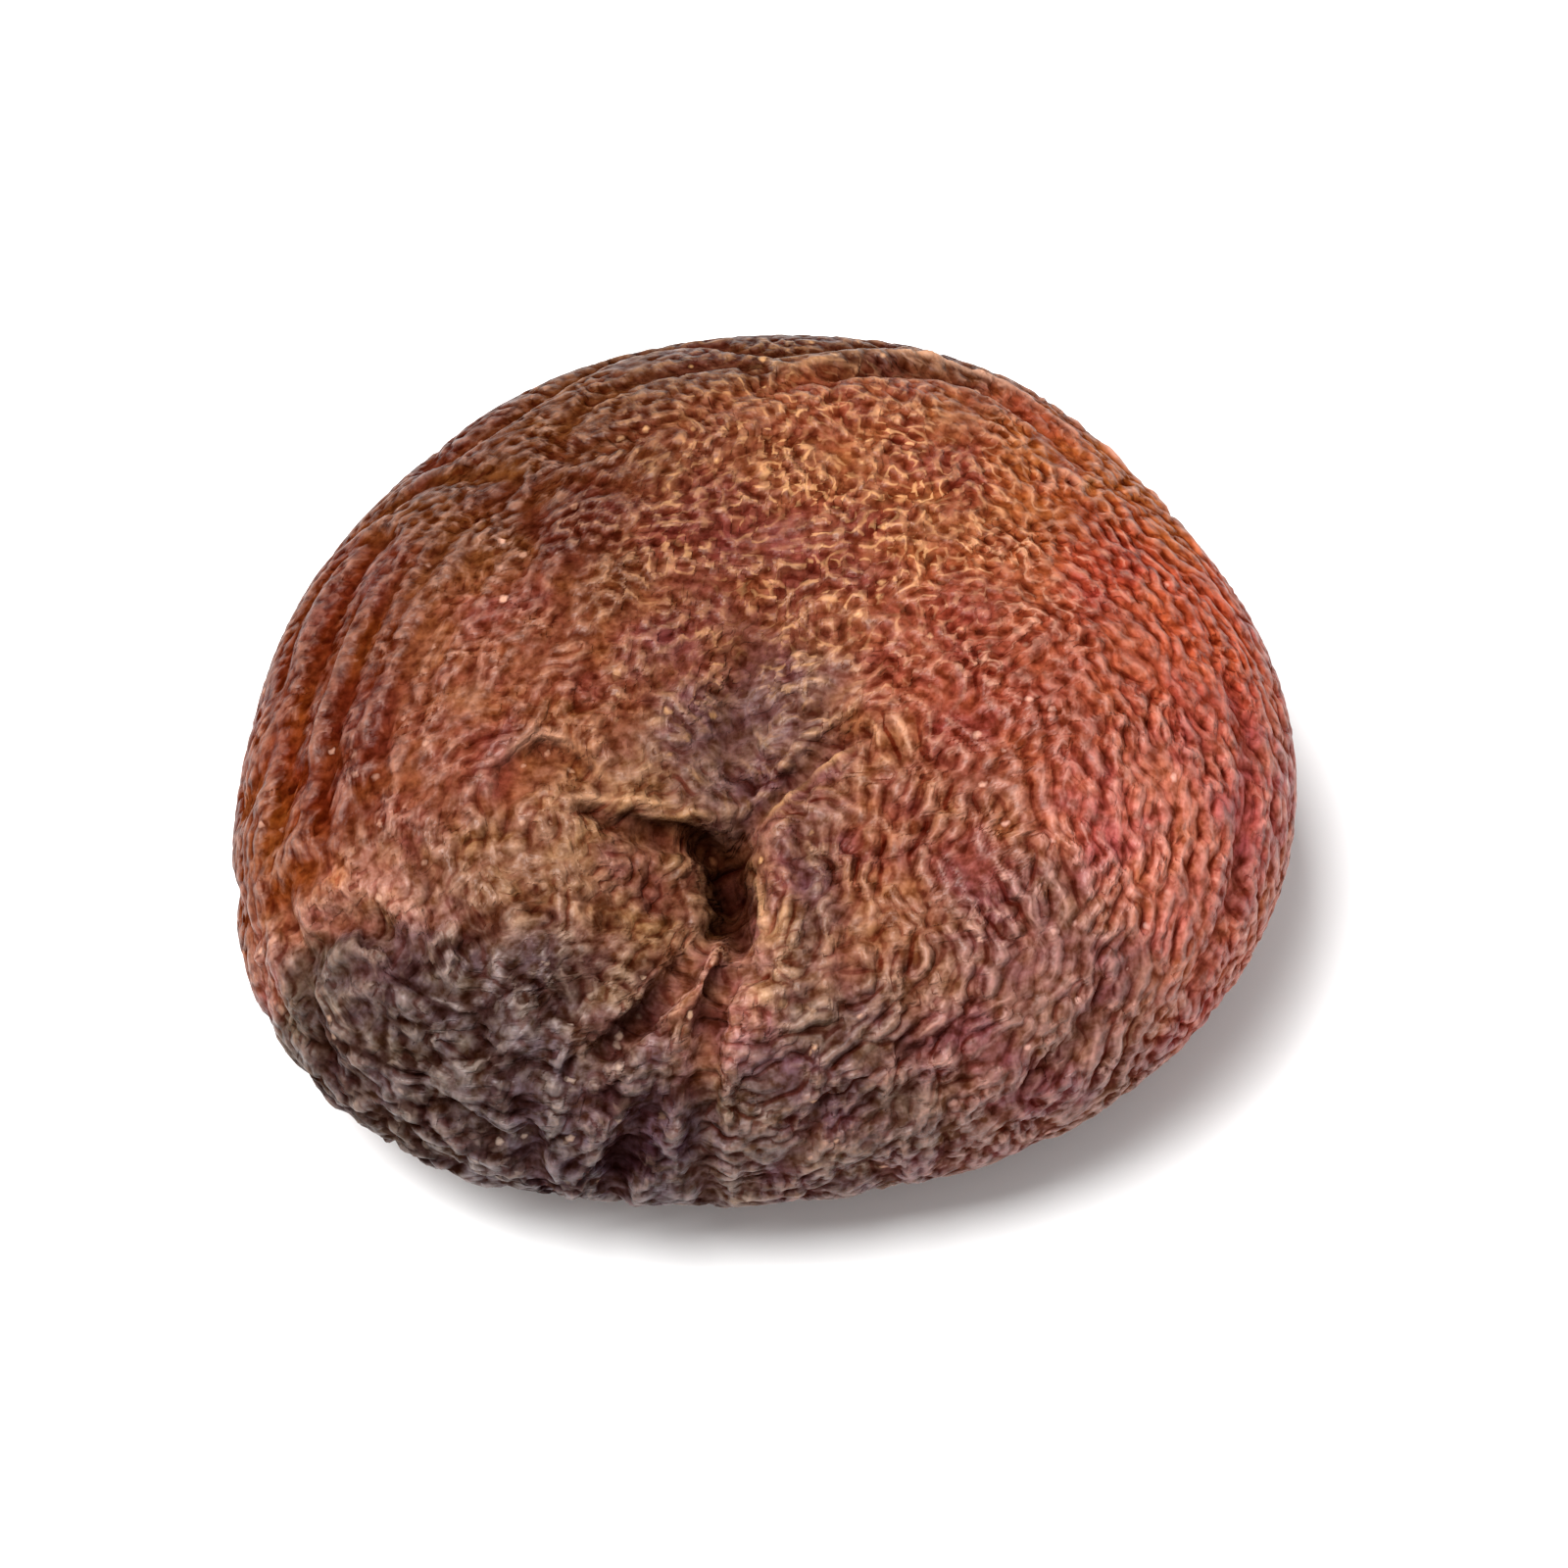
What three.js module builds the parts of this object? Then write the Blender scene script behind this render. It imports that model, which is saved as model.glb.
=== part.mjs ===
// A dried apricot, whole and pitted, made as one closed solid in millimetres.
// It lies on its flatter side, with the stem pit on top. X runs left to right, Y front to back and Z up.
// The origin is on the surface that it rests on, under the middle of its outline.

import * as THREE from "three";
import { mergeVertices } from "three/addons/utils/BufferGeometryUtils.js";

// Driving sizes
const WIDTH = 34;
const DEPTH = 31.4;
const CROWN = 8.2; // how far the upper skin rises over the rim, before it sinks in round the stem pit
const BELLY = 6.5; // how far the lower skin hangs under the rim
const FOOT_SINK = 0.16; // how much of the belly is pressed flat where the fruit lies on it
const REST_ROUND = 4.6; // the radius round the middle inside which the lower skin has no folds or wrinkles
const PATCH_STEPS = 31; // the skin is six square patches with this many steps along a side
const SQUARENESS = 2.45; // 2 makes the side view an ellipse, and more gives fuller shoulders
const SKIN_COLOUR = 0x84482d;

const MEAN_RADIUS = (WIDTH + DEPTH) / 4;
const QUARTER_TURN = Math.PI / 2;
const PROFILE_STEPS = 1440;

// Where the outline swells or is drawn in, against a plain ellipse, seen from above.
// at and spread are in degrees, and by is in millimetres outwards.
const OUTLINE_SWELLS = [
  { at: -146, spread: 22, by: 2.4 },
  { at: -84, spread: 26, by: -0.9 },
  { at: -35, spread: 26, by: -0.5 },
  { at: 36, spread: 20, by: -1.0 },
  { at: 64, spread: 16, by: 0.3 },
  { at: 138, spread: 20, by: 0.35 },
];

// The stem pit's place, seen from above
const STEM_PIT = { x: -2.0, y: -7.6 };

// Broad forms of the upper skin. Each one lifts or sinks the skin round a place seen from above.
const HOLLOWS_AND_LOBES = [
  { name: "dish round the pit", x: -1.6, y: -6.2, across: 6.4, along: 6.0, lift: -1.7 },
  { name: "trough behind the pit", x: -1.2, y: 1.6, across: 2.6, along: 5.0, lift: -0.55 },
  { name: "full lobe on the right", x: 9.3, y: -2.5, across: 4.4, along: 7.0, lift: 0.5 },
  { name: "lower lobe on the left", x: -9.0, y: -3.5, across: 3.4, along: 4.4, lift: 0.35 },
  { name: "slack shoulder, back left", x: -10.5, y: 8.5, across: 4.5, along: 3.6, lift: -0.5 },
  { name: "roll along the back", x: 3.0, y: 11.0, across: 6.0, along: 2.6, lift: 0.3 },
  { name: "sunken front left corner", x: -9.0, y: -11.0, across: 3.6, along: 3.0, lift: -0.4 },
  { name: "slope into the pit, left", x: -3.9, y: -7.9, across: 1.9, along: 2.0, lift: -1.1 },
  { name: "lip of the pit, right", x: 0.9, y: -8.2, across: 1.9, along: 3.6, lift: 0.3 },
  { name: "tongue below the pit", x: -2.4, y: -11.5, across: 0.9, along: 1.6, lift: 0.4 },
];

// A fold has a half width, three depths and the three points seen from above that its curve goes through.
const fold = (name, wide, deep, ...path) => ({ name, wide, deep, path });

// Folds in the upper skin. A point past the outline lies as far down the side.
const FOLDS = [
  fold("throat of the pit", 0.95, [2.2, 2.4, 0.5], [-2.0, -6.0], [-1.75, -8.1], [-1.4, -10.2]),
  fold("lip over the pit", 0.85, [0.5, 0.5, 0.2], [-2.6, -5.9], [-4.4, -5.9], [-6.4, -5.1]),
  fold("front furrow, left", 0.9, [0.65, 0.7, 0.3], [-2.9, -9.4], [-4.2, -11.7], [-6.6, -13.3]),
  fold("front furrow, right", 0.9, [0.7, 0.8, 0.3], [-1.2, -10.6], [-2.7, -12.8], [-2.5, -15.2]),
  fold("low front fold", 0.9, [0.3, 0.7, 0.3], [-3.4, -13.9], [-4.6, -14.6], [-6.1, -15.4]),
  fold("fold right of the pit", 0.85, [0.6, 0.5, 0.2], [-1.3, -5.4], [0.4, -3.8], [2.4, -2.3]),
  fold("bed of the trough", 1.4, [0.4, 0.35, 0.15], [-1.5, -4.4], [-1.6, -1.4], [-0.9, 2.0]),
  fold("left arch", 0.85, [0.2, 0.4, 0.3], [-9.2, -4.9], [-7.7, -3.2], [-5.9, -4.4]),
  fold("left ear, inner", 0.9, [0.4, 0.7, 0.3], [-15.4, -8.8], [-14.2, -8.0], [-12.4, -9.2]),
  fold("left ear, outer", 0.95, [0.3, 0.5, 0.3], [-16.5, -6.6], [-15.8, -9.0], [-15.0, -11.2]),
  fold("left rim, first", 0.95, [0.3, 0.5, 0.3], [-13.6, 6.4], [-15.5, 1.4], [-16.4, -4.2]),
  fold("left rim, second", 0.95, [0.1, 0.4, 0.3], [-12.2, 5.2], [-14.2, 0.6], [-15.0, -4.6]),
  fold("left rim, third", 0.95, [0.2, 0.25, 0.1], [-10.1, 4.4], [-12.4, -0.2], [-13.4, -5.4]),
  fold("back rim", 0.95, [0.2, 0.45, 0.2], [-0.6, 10.8], [5.0, 12.1], [9.4, 9.2]),
  fold("across the front left", 0.9, [0.2, 0.3, 0.15], [-13.8, -10.9], [-12.0, -12.3], [-9.4, -12.0]),
  fold("front notch", 0.9, [0.15, 0.3, 0.15], [-7.6, -11.6], [-8.2, -13.4], [-7.7, -15.6]),
  fold("corner, front left", 0.9, [0.15, 0.3, 0.15], [-12.4, -13.0], [-10.4, -13.9], [-8.3, -14.6]),
  fold("front right, upper", 0.9, [0.2, 0.3, 0.15], [0.1, -14.2], [2.6, -14.1], [5.6, -13.2]),
  fold("front right, lower", 0.9, [0.15, 0.3, 0.15], [5.8, -13.7], [8.5, -12.2], [10.3, -10.2]),
  fold("right wall", 1.0, [0.1, 0.3, 0.2], [14.0, 2.0], [14.9, -3.6], [13.2, -8.5]),
];

// Folds in the lower skin, seen through the fruit from above
const UNDER_FOLDS = [
  fold("seam under the front", 1.1, [0.6, 0.8, 0.3], [-1.0, -14.0], [-2.6, -10.6], [-1.6, -7.6]),
  fold("under left", 1.1, [0.6, 0.7, 0.2], [-14.4, -1.0], [-11.0, 0.6], [-7.6, 0.2]),
  fold("under back left", 1.1, [0.5, 0.6, 0.2], [-9.6, 10.6], [-7.0, 8.8], [-4.8, 7.0]),
  fold("under back right", 1.1, [0.6, 0.7, 0.2], [7.4, 12.2], [5.8, 9.0], [5.4, 6.6]),
  fold("under right", 1.1, [0.6, 0.7, 0.2], [14.8, -5.4], [11.4, -3.6], [8.6, -3.4]),
];

// The wrinkles of the skin, made larger than life: narrow valleys between cushion-like ridges
const WRINKLE_LENGTH = 4.8;
const WRINKLE_DEPTH = 0.42;
const VALLEY_WIDTH = 0.62;
const WRINKLE_WAVES = 26;
const WRINKLE_SEED = 20;
const RING_SPREAD = 1.0; // how far, in radians, a ridge may stray from running round the fruit

// How strong the large wrinkles are: least on the crown, more towards the rim, and most where the skin is
// slack. They fade in the throat of the pit and round the two furrows in front of it.
const ON_CROWN = 0.28;
const ON_RIM = { from: 0.6, to: 0.95, more: 0.42 };
const SLACK_SKIN = { x: -9.5, y: -12.0, across: 6.5, along: 4.5, more: 0.35 };
const IN_THROAT = { x: STEM_PIT.x, y: STEM_PIT.y, across: 2.6, along: 2.6, less: 0.7 };
const BY_FURROWS = { x: -3.4, y: -12.0, across: 3.2, along: 2.6, less: 0.6 };

// Where the upper skin gives way to the lower skin, and where the broad forms end: turns down the side view
const UNDER_RIM = { from: 1.9, to: 2.35 };
const FORMS_END = { from: 1.35, to: 1.75 };
const REST_FADE = 4; // how far round the resting place the folds and wrinkles of the lower skin grow in

// A fold's lips: a low swelling on each side, this many half widths away from its bed. A shallow fold has
// lips of this share of its depth, and a deep one has them of at most this many millimetres.
const LIP = { height: 0.25, away: 2, wide: 0.8 };

// Small helpers

const bell = (value) => Math.exp(-value * value);

function ramp(value, from, to) {
  const t = THREE.MathUtils.clamp((value - from) / (to - from), 0, 1);
  return t * t * (3 - 2 * t);
}

// A soft oval patch seen from above: 1 in its middle, fading outwards.
function patch({ x, y, across, along }, placeX, placeY) {
  return bell(Math.hypot((placeX - x) / across, (placeY - y) / along));
}

// The curve of the second order that passes its three values at t = 0, a half and 1
function through(start, middle, end, t) {
  return start * (1 - t) * (1 - 2 * t) + 4 * middle * t * (1 - t) + end * t * (2 * t - 1);
}

// Reads the height of a chain of points at a place along it.
function between(places, heights, at) {
  let low = 0;
  let high = places.length - 1;
  while (high - low > 1) {
    const middle = (low + high) >> 1;
    if (places[middle] > at) high = middle;
    else low = middle;
  }
  const share = (at - places[low]) / (places[high] - places[low] || 1);
  return heights[low] + (heights[high] - heights[low]) * THREE.MathUtils.clamp(share, 0, 1);
}

// A seeded stream of numbers from 0 to 1, the same on every run
function numbersFrom(seed) {
  let state = seed >>> 0;
  return () => {
    state = (Math.imul(state, 1664525) + 1013904223) >>> 0;
    return state / 4294967296;
  };
}

// The plain body

// The outline's distance from the middle in a direction: an ellipse with the swells added.
function outline(angle) {
  const across = Math.cos(angle) / (WIDTH / 2);
  const along = Math.sin(angle) / (DEPTH / 2);
  let radius = 1 / Math.hypot(across, along);
  for (const swell of OUTLINE_SWELLS) {
    const spread = THREE.MathUtils.degToRad(swell.spread);
    const away = angle - THREE.MathUtils.degToRad(swell.at);
    radius += swell.by * Math.exp((Math.cos(away) - 1) / (spread * spread));
  }
  return radius;
}

// The side view, from the top (turn 0) over the rim (a quarter turn) to the bottom (a half turn).
// reach is the share of the outline's radius, and rise the height over the rim.
function sideView(turn) {
  const tall = turn < QUARTER_TURN ? CROWN : -BELLY;
  return {
    reach: Math.abs(Math.sin(turn)) ** (2 / SQUARENESS),
    rise: tall * Math.abs(Math.cos(turn)) ** (2 / SQUARENESS),
  };
}

// Walks down the side view once, and notes the length of skin and the share of the whole skin passed.
function walkSideView() {
  const turns = [0];
  const lengths = [0];
  const areas = [0];
  let last = sideView(0);
  for (let i = 1; i <= PROFILE_STEPS; i++) {
    const turn = (Math.PI * i) / PROFILE_STEPS;
    const next = sideView(turn);
    const step = Math.hypot((next.reach - last.reach) * MEAN_RADIUS, next.rise - last.rise);
    turns.push(turn);
    lengths.push(lengths[i - 1] + step);
    areas.push(areas[i - 1] + step * (next.reach + last.reach));
    last = next;
  }
  const whole = areas[PROFILE_STEPS];
  const ballAngles = areas.map((area) => Math.acos(1 - (2 * area) / whole));
  return { turns, lengths, ballAngles };
}

const walked = walkSideView();

// The skin's map: each point of the skin has a place on a flat map, as if it were peeled off and spread out
// round the stem pit. The map keeps the length of skin from the pit.
const pitPlace = new THREE.Vector2(STEM_PIT.x, STEM_PIT.y);
const pit = pitPlace.clone().divideScalar(outline(pitPlace.angle()));

function onMap(angle, turn) {
  const reach = Math.abs(Math.sin(turn)) ** (2 / SQUARENESS);
  const away = new THREE.Vector2(reach * Math.cos(angle), reach * Math.sin(angle)).sub(pit);
  const distance = Math.max(away.length(), 1e-6);
  const heading = away.clone().divideScalar(distance);
  const facing = pit.dot(heading);
  const toRim = Math.sqrt(facing * facing + 1 - pit.lengthSq()) - facing;
  const share = distance / toRim;
  const rimPoint = heading.clone().multiplyScalar(toRim).add(pit);
  const rimRadius = outline(Math.atan2(rimPoint.y, rimPoint.x));
  const rimDistance = rimPoint.multiplyScalar(rimRadius).distanceTo(pitPlace);
  const shareTurn = Math.asin(Math.min(share, 1) ** (SQUARENESS / 2));
  const skinTurn = turn < QUARTER_TURN ? shareTurn : Math.PI - shareTurn;
  const passed = between(walked.turns, walked.lengths, skinTurn);
  const length = (passed * rimDistance) / MEAN_RADIUS;
  const bearing = Math.atan2(heading.y, heading.x);
  return {
    x: length * Math.cos(bearing),
    y: length * Math.sin(bearing),
    length,
    bearing,
    ring: distance * MEAN_RADIUS,
  };
}

// A place seen from above, on the map. Past the outline it lies as far down the side.
function plannedOnMap([x, y]) {
  const angle = Math.atan2(y, x);
  const reach = Math.hypot(x, y) / outline(angle);
  const folded = reach > 1 ? 2 - reach : reach;
  const turn = Math.asin(folded ** (SQUARENESS / 2));
  return onMap(angle, reach > 1 ? Math.PI - turn : turn);
}

// Folds and wrinkles

const FOLD_POINTS = 28;

function foldLine(groove, place) {
  const [start, middle, end] = groove.path.map(place).map((p) => new THREE.Vector2(p.x, p.y));
  const bend = middle.clone().multiplyScalar(2).addScaledVector(start, -0.5).addScaledVector(end, -0.5);
  return { ...groove, line: new THREE.QuadraticBezierCurve(start, bend, end).getPoints(FOLD_POINTS) };
}

const folds = FOLDS.map((groove) => foldLine(groove, plannedOnMap));
const underFolds = UNDER_FOLDS.map((groove) => foldLine(groove, ([x, y]) => ({ x, y })));

// How far a fold sinks the skin at a place: a rounded groove with a low lip on each side.
function sunkBy(groove, x, y) {
  let nearest = Infinity;
  let found = 0;
  for (let i = 0; i < FOLD_POINTS; i++) {
    const from = groove.line[i];
    const runX = groove.line[i + 1].x - from.x;
    const runY = groove.line[i + 1].y - from.y;
    const foot = ((x - from.x) * runX + (y - from.y) * runY) / (runX * runX + runY * runY);
    const share = THREE.MathUtils.clamp(foot, 0, 1);
    const gap = Math.hypot(x - from.x - share * runX, y - from.y - share * runY);
    if (gap < nearest) {
      nearest = gap;
      found = (i + share) / FOLD_POINTS;
    }
  }
  const [start, middle, end] = groove.deep;
  const deep = through(start, middle, end, found);
  const away = nearest / groove.wide;
  const lip = (LIP.height * deep) / (1 + deep);
  return deep * bell(away) - lip * bell((away - LIP.away) / LIP.wide);
}

// Waves of one length that run mostly outwards from the stem pit, so that the ridges between them run
// round the fruit near its rim and turn towards the pit near it.
function ringWaves() {
  const number = numbersFrom(WRINKLE_SEED);
  const pace = (2 * Math.PI) / WRINKLE_LENGTH;
  return Array.from({ length: WRINKLE_WAVES }, () => {
    const lean = (2 * number() - 1) * RING_SPREAD;
    return {
      outwards: pace * Math.cos(lean),
      around: Math.round(pace * Math.sin(lean) * MEAN_RADIUS * 0.85),
      start: 2 * Math.PI * number(),
    };
  });
}

// Waves of the same length in every direction, for the lower skin
function evenWaves() {
  const number = numbersFrom(WRINKLE_SEED + 1);
  const pace = (2 * Math.PI) / WRINKLE_LENGTH;
  return Array.from({ length: WRINKLE_WAVES }, () => {
    const heading = 2 * Math.PI * number();
    return { x: pace * Math.cos(heading), y: pace * Math.sin(heading), start: 2 * Math.PI * number() };
  });
}

const upperWaves = ringWaves();
const lowerWaves = evenWaves();
const MOST_AROUND = (2 * Math.PI) / WRINKLE_LENGTH;

// A valley lies where a sum of waves crosses nothing, and is as wide whether the sum crosses it fast or
// slowly.
function valley(sum, slopeX, slopeY) {
  return bell(sum / (Math.hypot(slopeX, slopeY) * VALLEY_WIDTH + 1e-6));
}

// How far the wrinkles sink the upper skin. Near the pit too many waves would crowd together, so they fade.
function upperWrinkle(map) {
  const ring = map.ring + 0.01;
  let sum = 0;
  let slopeOut = 0;
  let slopeAround = 0;
  for (const wave of upperWaves) {
    const crowding = Math.abs(wave.around) / ring / MOST_AROUND;
    const kept = 1 / (1 + crowding ** 6);
    const phase = wave.outwards * map.length + wave.around * map.bearing + wave.start;
    sum += kept * Math.cos(phase);
    slopeOut += kept * wave.outwards * Math.sin(phase);
    slopeAround += (kept * wave.around * Math.sin(phase)) / ring;
  }
  return valley(sum, slopeOut, slopeAround);
}

function lowerWrinkle(x, y) {
  let sum = 0;
  let slopeX = 0;
  let slopeY = 0;
  for (const wave of lowerWaves) {
    const phase = wave.x * x + wave.y * y + wave.start;
    sum += Math.cos(phase);
    slopeX += wave.x * Math.sin(phase);
    slopeY += wave.y * Math.sin(phase);
  }
  return valley(sum, slopeX, slopeY);
}

// The whole skin

// A box's six sides, blown up to a ball with even cells. Each point is a direction from the middle.
function evenBall() {
  const box = new THREE.BoxGeometry(2, 2, 2, PATCH_STEPS, PATCH_STEPS, PATCH_STEPS);
  box.deleteAttribute("normal");
  box.deleteAttribute("uv");
  const ball = mergeVertices(box, 1e-4);
  const places = ball.getAttribute("position");
  const point = new THREE.Vector3();
  const spread = (value) => Math.tan((value * Math.PI) / 4);
  for (let i = 0; i < places.count; i++) {
    point.fromBufferAttribute(places, i);
    point.set(spread(point.x), spread(point.y), spread(point.z)).normalize();
    places.setXYZ(i, point.x, point.y, point.z);
  }
  return ball;
}

// How strong the large wrinkles of the upper skin are at a place.
function wrinkled(x, y, reach) {
  const onRim = ON_RIM.more * ramp(reach, ON_RIM.from, ON_RIM.to);
  const onSlack = SLACK_SKIN.more * patch(SLACK_SKIN, x, y);
  const throat = 1 - IN_THROAT.less * patch(IN_THROAT, x, y);
  const furrows = 1 - BY_FURROWS.less * patch(BY_FURROWS, x, y);
  return (ON_CROWN + onRim + onSlack) * throat * furrows;
}

// How far the skin stands out of the plain body at a point of it. over is how much of the point is upper
// skin, and the lower skin is smooth where the fruit rests.
function relief(x, y, angle, turn) {
  const map = onMap(angle, turn);
  const over = 1 - ramp(turn, UNDER_RIM.from, UNDER_RIM.to);
  const crown = 1 - ramp(turn, FORMS_END.from, FORMS_END.to);
  const offRest = ramp(Math.hypot(x, y), REST_ROUND, REST_ROUND + REST_FADE);
  let lift = 0;
  for (const form of HOLLOWS_AND_LOBES) lift += crown * form.lift * patch(form, x, y);
  for (const groove of folds) lift -= over * sunkBy(groove, map.x, map.y);
  for (const groove of underFolds) lift -= (1 - over) * offRest * sunkBy(groove, x, y);
  const upper = wrinkled(x, y, sideView(turn).reach) * upperWrinkle(map);
  const lower = offRest * lowerWrinkle(x, y);
  return lift - WRINKLE_DEPTH * THREE.MathUtils.lerp(lower, upper, over);
}

// Splits each cell of the skin along its shorter diagonal. A cell comes as two triangles, a b d and b c d.
function splitShort(skin) {
  const corners = skin.getIndex();
  const places = skin.getAttribute("position");
  const point = (i) => new THREE.Vector3().fromBufferAttribute(places, i);
  for (let i = 0; i < corners.count; i += 6) {
    const [a, b, d] = [corners.getX(i), corners.getX(i + 1), corners.getX(i + 2)];
    const c = corners.getX(i + 4);
    if (point(a).distanceTo(point(c)) < point(b).distanceTo(point(d))) {
      [a, b, c, a, c, d].forEach((corner, k) => corners.setX(i + k, corner));
    }
  }
}

function driedApricot() {
  const skin = evenBall();
  const places = skin.getAttribute("position");
  const turns = [];
  const point = new THREE.Vector3();
  for (let i = 0; i < places.count; i++) {
    point.fromBufferAttribute(places, i);
    const angle = Math.atan2(point.y, point.x);
    const turn = between(walked.ballAngles, walked.turns, Math.acos(THREE.MathUtils.clamp(point.z, -1, 1)));
    const { reach, rise } = sideView(turn);
    const radius = reach * outline(angle);
    turns.push({ angle, turn });
    places.setXYZ(i, radius * Math.cos(angle), radius * Math.sin(angle), rise);
  }
  skin.computeVertexNormals();
  const outwards = skin.getAttribute("normal");
  const normal = new THREE.Vector3();
  for (let i = 0; i < places.count; i++) {
    point.fromBufferAttribute(places, i);
    normal.fromBufferAttribute(outwards, i);
    const { angle, turn } = turns[i];
    point.addScaledVector(normal, relief(point.x, point.y, angle, turn));
    point.z = Math.max(point.z + BELLY - FOOT_SINK, 0);
    places.setXYZ(i, point.x, point.y, point.z);
  }
  skin.computeBoundingBox();
  const middle = skin.boundingBox.getCenter(new THREE.Vector3());
  skin.translate(-middle.x, -middle.y, 0);
  splitShort(skin);
  skin.computeVertexNormals();
  const flesh = new THREE.MeshStandardMaterial({ color: SKIN_COLOUR, roughness: 0.5, metalness: 0 });
  const mesh = new THREE.Mesh(skin, flesh);
  mesh.name = "dried_apricot";
  return mesh;
}

const fruit = new THREE.Group();
fruit.add(driedApricot());

export default fruit;
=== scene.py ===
# %% [markdown]
# # A dried apricot
# This lesson dresses a packed dried apricot. The fruit is one natural thing: a skin that dried round its
# flesh, sank in at the stem and creased all over. So the lesson is about its surface: first the large shape,
# then hollows and folds, then wrinkles from large to fine, and at last the colour and gloss of the skin.

import bpy
import numpy as np
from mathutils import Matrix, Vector


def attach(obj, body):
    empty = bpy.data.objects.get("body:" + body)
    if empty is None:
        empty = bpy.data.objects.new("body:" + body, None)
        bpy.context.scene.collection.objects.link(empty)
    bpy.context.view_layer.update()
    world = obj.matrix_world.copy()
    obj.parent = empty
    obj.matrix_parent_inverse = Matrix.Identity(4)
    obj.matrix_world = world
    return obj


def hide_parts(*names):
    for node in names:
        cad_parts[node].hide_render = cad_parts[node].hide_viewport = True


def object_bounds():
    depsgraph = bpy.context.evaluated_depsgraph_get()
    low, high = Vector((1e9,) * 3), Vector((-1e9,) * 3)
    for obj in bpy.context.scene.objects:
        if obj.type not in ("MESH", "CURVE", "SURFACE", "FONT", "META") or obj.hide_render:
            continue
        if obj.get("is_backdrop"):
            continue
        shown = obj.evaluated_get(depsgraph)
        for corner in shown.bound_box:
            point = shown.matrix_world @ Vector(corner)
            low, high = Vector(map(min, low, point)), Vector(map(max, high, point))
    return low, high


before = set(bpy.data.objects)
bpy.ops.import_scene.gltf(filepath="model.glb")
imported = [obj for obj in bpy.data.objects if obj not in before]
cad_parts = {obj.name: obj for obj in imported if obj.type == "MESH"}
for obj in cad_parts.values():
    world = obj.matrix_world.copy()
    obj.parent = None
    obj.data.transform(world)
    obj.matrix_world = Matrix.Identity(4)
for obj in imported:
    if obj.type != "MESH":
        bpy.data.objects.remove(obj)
cad_low, cad_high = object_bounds()
print("packed fruit, in mm:", [round(1000 * s, 2) for s in cad_high - cad_low])

# %% [markdown]
# ## The camera
# The fruit is seen from its front and from high up, about sixty degrees above the table. A long lens from
# not quite half a metre away keeps the outline calm. The fruit fills two thirds of the picture's width.

# %% The camera
ELEVATION = np.radians(60)
DISTANCE = 0.45
FRAMED_WIDTH = 0.051
AIM = Vector((0.0006, -0.0006, 0.0066))
SENSOR_MM = 36

toward_camera = Vector((0, -np.cos(ELEVATION), np.sin(ELEVATION)))
camera = bpy.data.objects.new("camera", bpy.data.cameras.new("camera"))
camera.data.sensor_width = SENSOR_MM
camera.data.lens = SENSOR_MM * DISTANCE / FRAMED_WIDTH
camera.data.clip_start = 0.01
camera.location = AIM + toward_camera * DISTANCE
camera.rotation_euler = toward_camera.to_track_quat("Z", "Y").to_euler()
bpy.context.scene.collection.objects.link(camera)
bpy.context.scene.camera = camera
print("lens, in mm:", round(camera.data.lens))

# %% [markdown]
# ## Sizes
# All shaping happens in millimetres. The sizes of the body and the places of its hollows and folds are those
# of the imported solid, so that both are the same fruit. X runs left to right, Y front to back and Z up, and Z
# starts at the widest line.

# %% Sizes of the plain body
WIDTH, DEPTH = 34.0, 31.4
CROWN, BELLY = 8.2, 6.5  # how far the skin rises over the widest line, and hangs under it
FOOT_SINK = 0.16  # how much of the belly is pressed flat
SQUARENESS = 2.45
STEM_PIT = np.array([-2.0, -7.6])
SWELLS = [
    # at (degrees), spread (degrees), by (mm outwards)
    (-146, 22, 2.4),
    (-84, 26, -0.9),
    (-35, 26, -0.5),
    (36, 20, -1.0),
    (64, 16, 0.3),
    (138, 20, 0.35),
]
MEAN_RADIUS = (WIDTH + DEPTH) / 4
print("mean radius, in mm:", MEAN_RADIUS)


# %% Small helpers
def bell(value):
    """e to the minus square of the value: 1 in the middle, and fading to nothing over a few units."""
    return np.exp(-value * value)


def ramp(value, start, end):
    """0 before start, 1 after end, and a smooth S between, three t squared minus two t cubed."""
    t = np.clip((value - start) / (end - start), 0, 1)
    return t * t * (3 - 2 * t)


def patch_of(x, y, middle, size):
    """A soft oval patch seen from above: the bell of the distance from its middle in units of its size."""
    return bell(np.hypot((x - middle[0]) / size[0], (y - middle[1]) / size[1]))


print("bell and ramp half way:", bell(0.5).round(3), ramp(0.5, 0, 1))

# %% [markdown]
# ## The plain body
# Seen from above, the fruit is an ellipse that swells out or is drawn in at a few places. Seen from the
# side it is a squarish oval, a superellipse, with a higher crown than belly. One angle goes round the
# fruit, and one *turn* goes from the top (0) over the rim (a quarter turn) to the bottom (a half turn).


# %% The outline and the side view
def outline(angle):
    """The rim's radius: one over the length of (cos/half width, sin/half depth), plus a bell per swell."""
    radius = 1 / np.hypot(np.cos(angle) / (WIDTH / 2), np.sin(angle) / (DEPTH / 2))
    for at, spread, by in SWELLS:
        away = np.cos(angle - np.radians(at)) - 1
        radius = radius + by * np.exp(away / np.radians(spread) ** 2)
    return radius


def side_view(turn):
    """Reach is |sin turn|, and rise is crown or belly times |cos turn|, to the power 2 / squareness."""
    reach = np.abs(np.sin(turn)) ** (2 / SQUARENESS)
    rise = np.where(turn < np.pi / 2, CROWN, -BELLY) * np.abs(np.cos(turn)) ** (2 / SQUARENESS)
    return reach, rise


print("rim at the right and at the back, in mm:", outline(np.array([0, np.pi / 2])).round(2))

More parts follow.
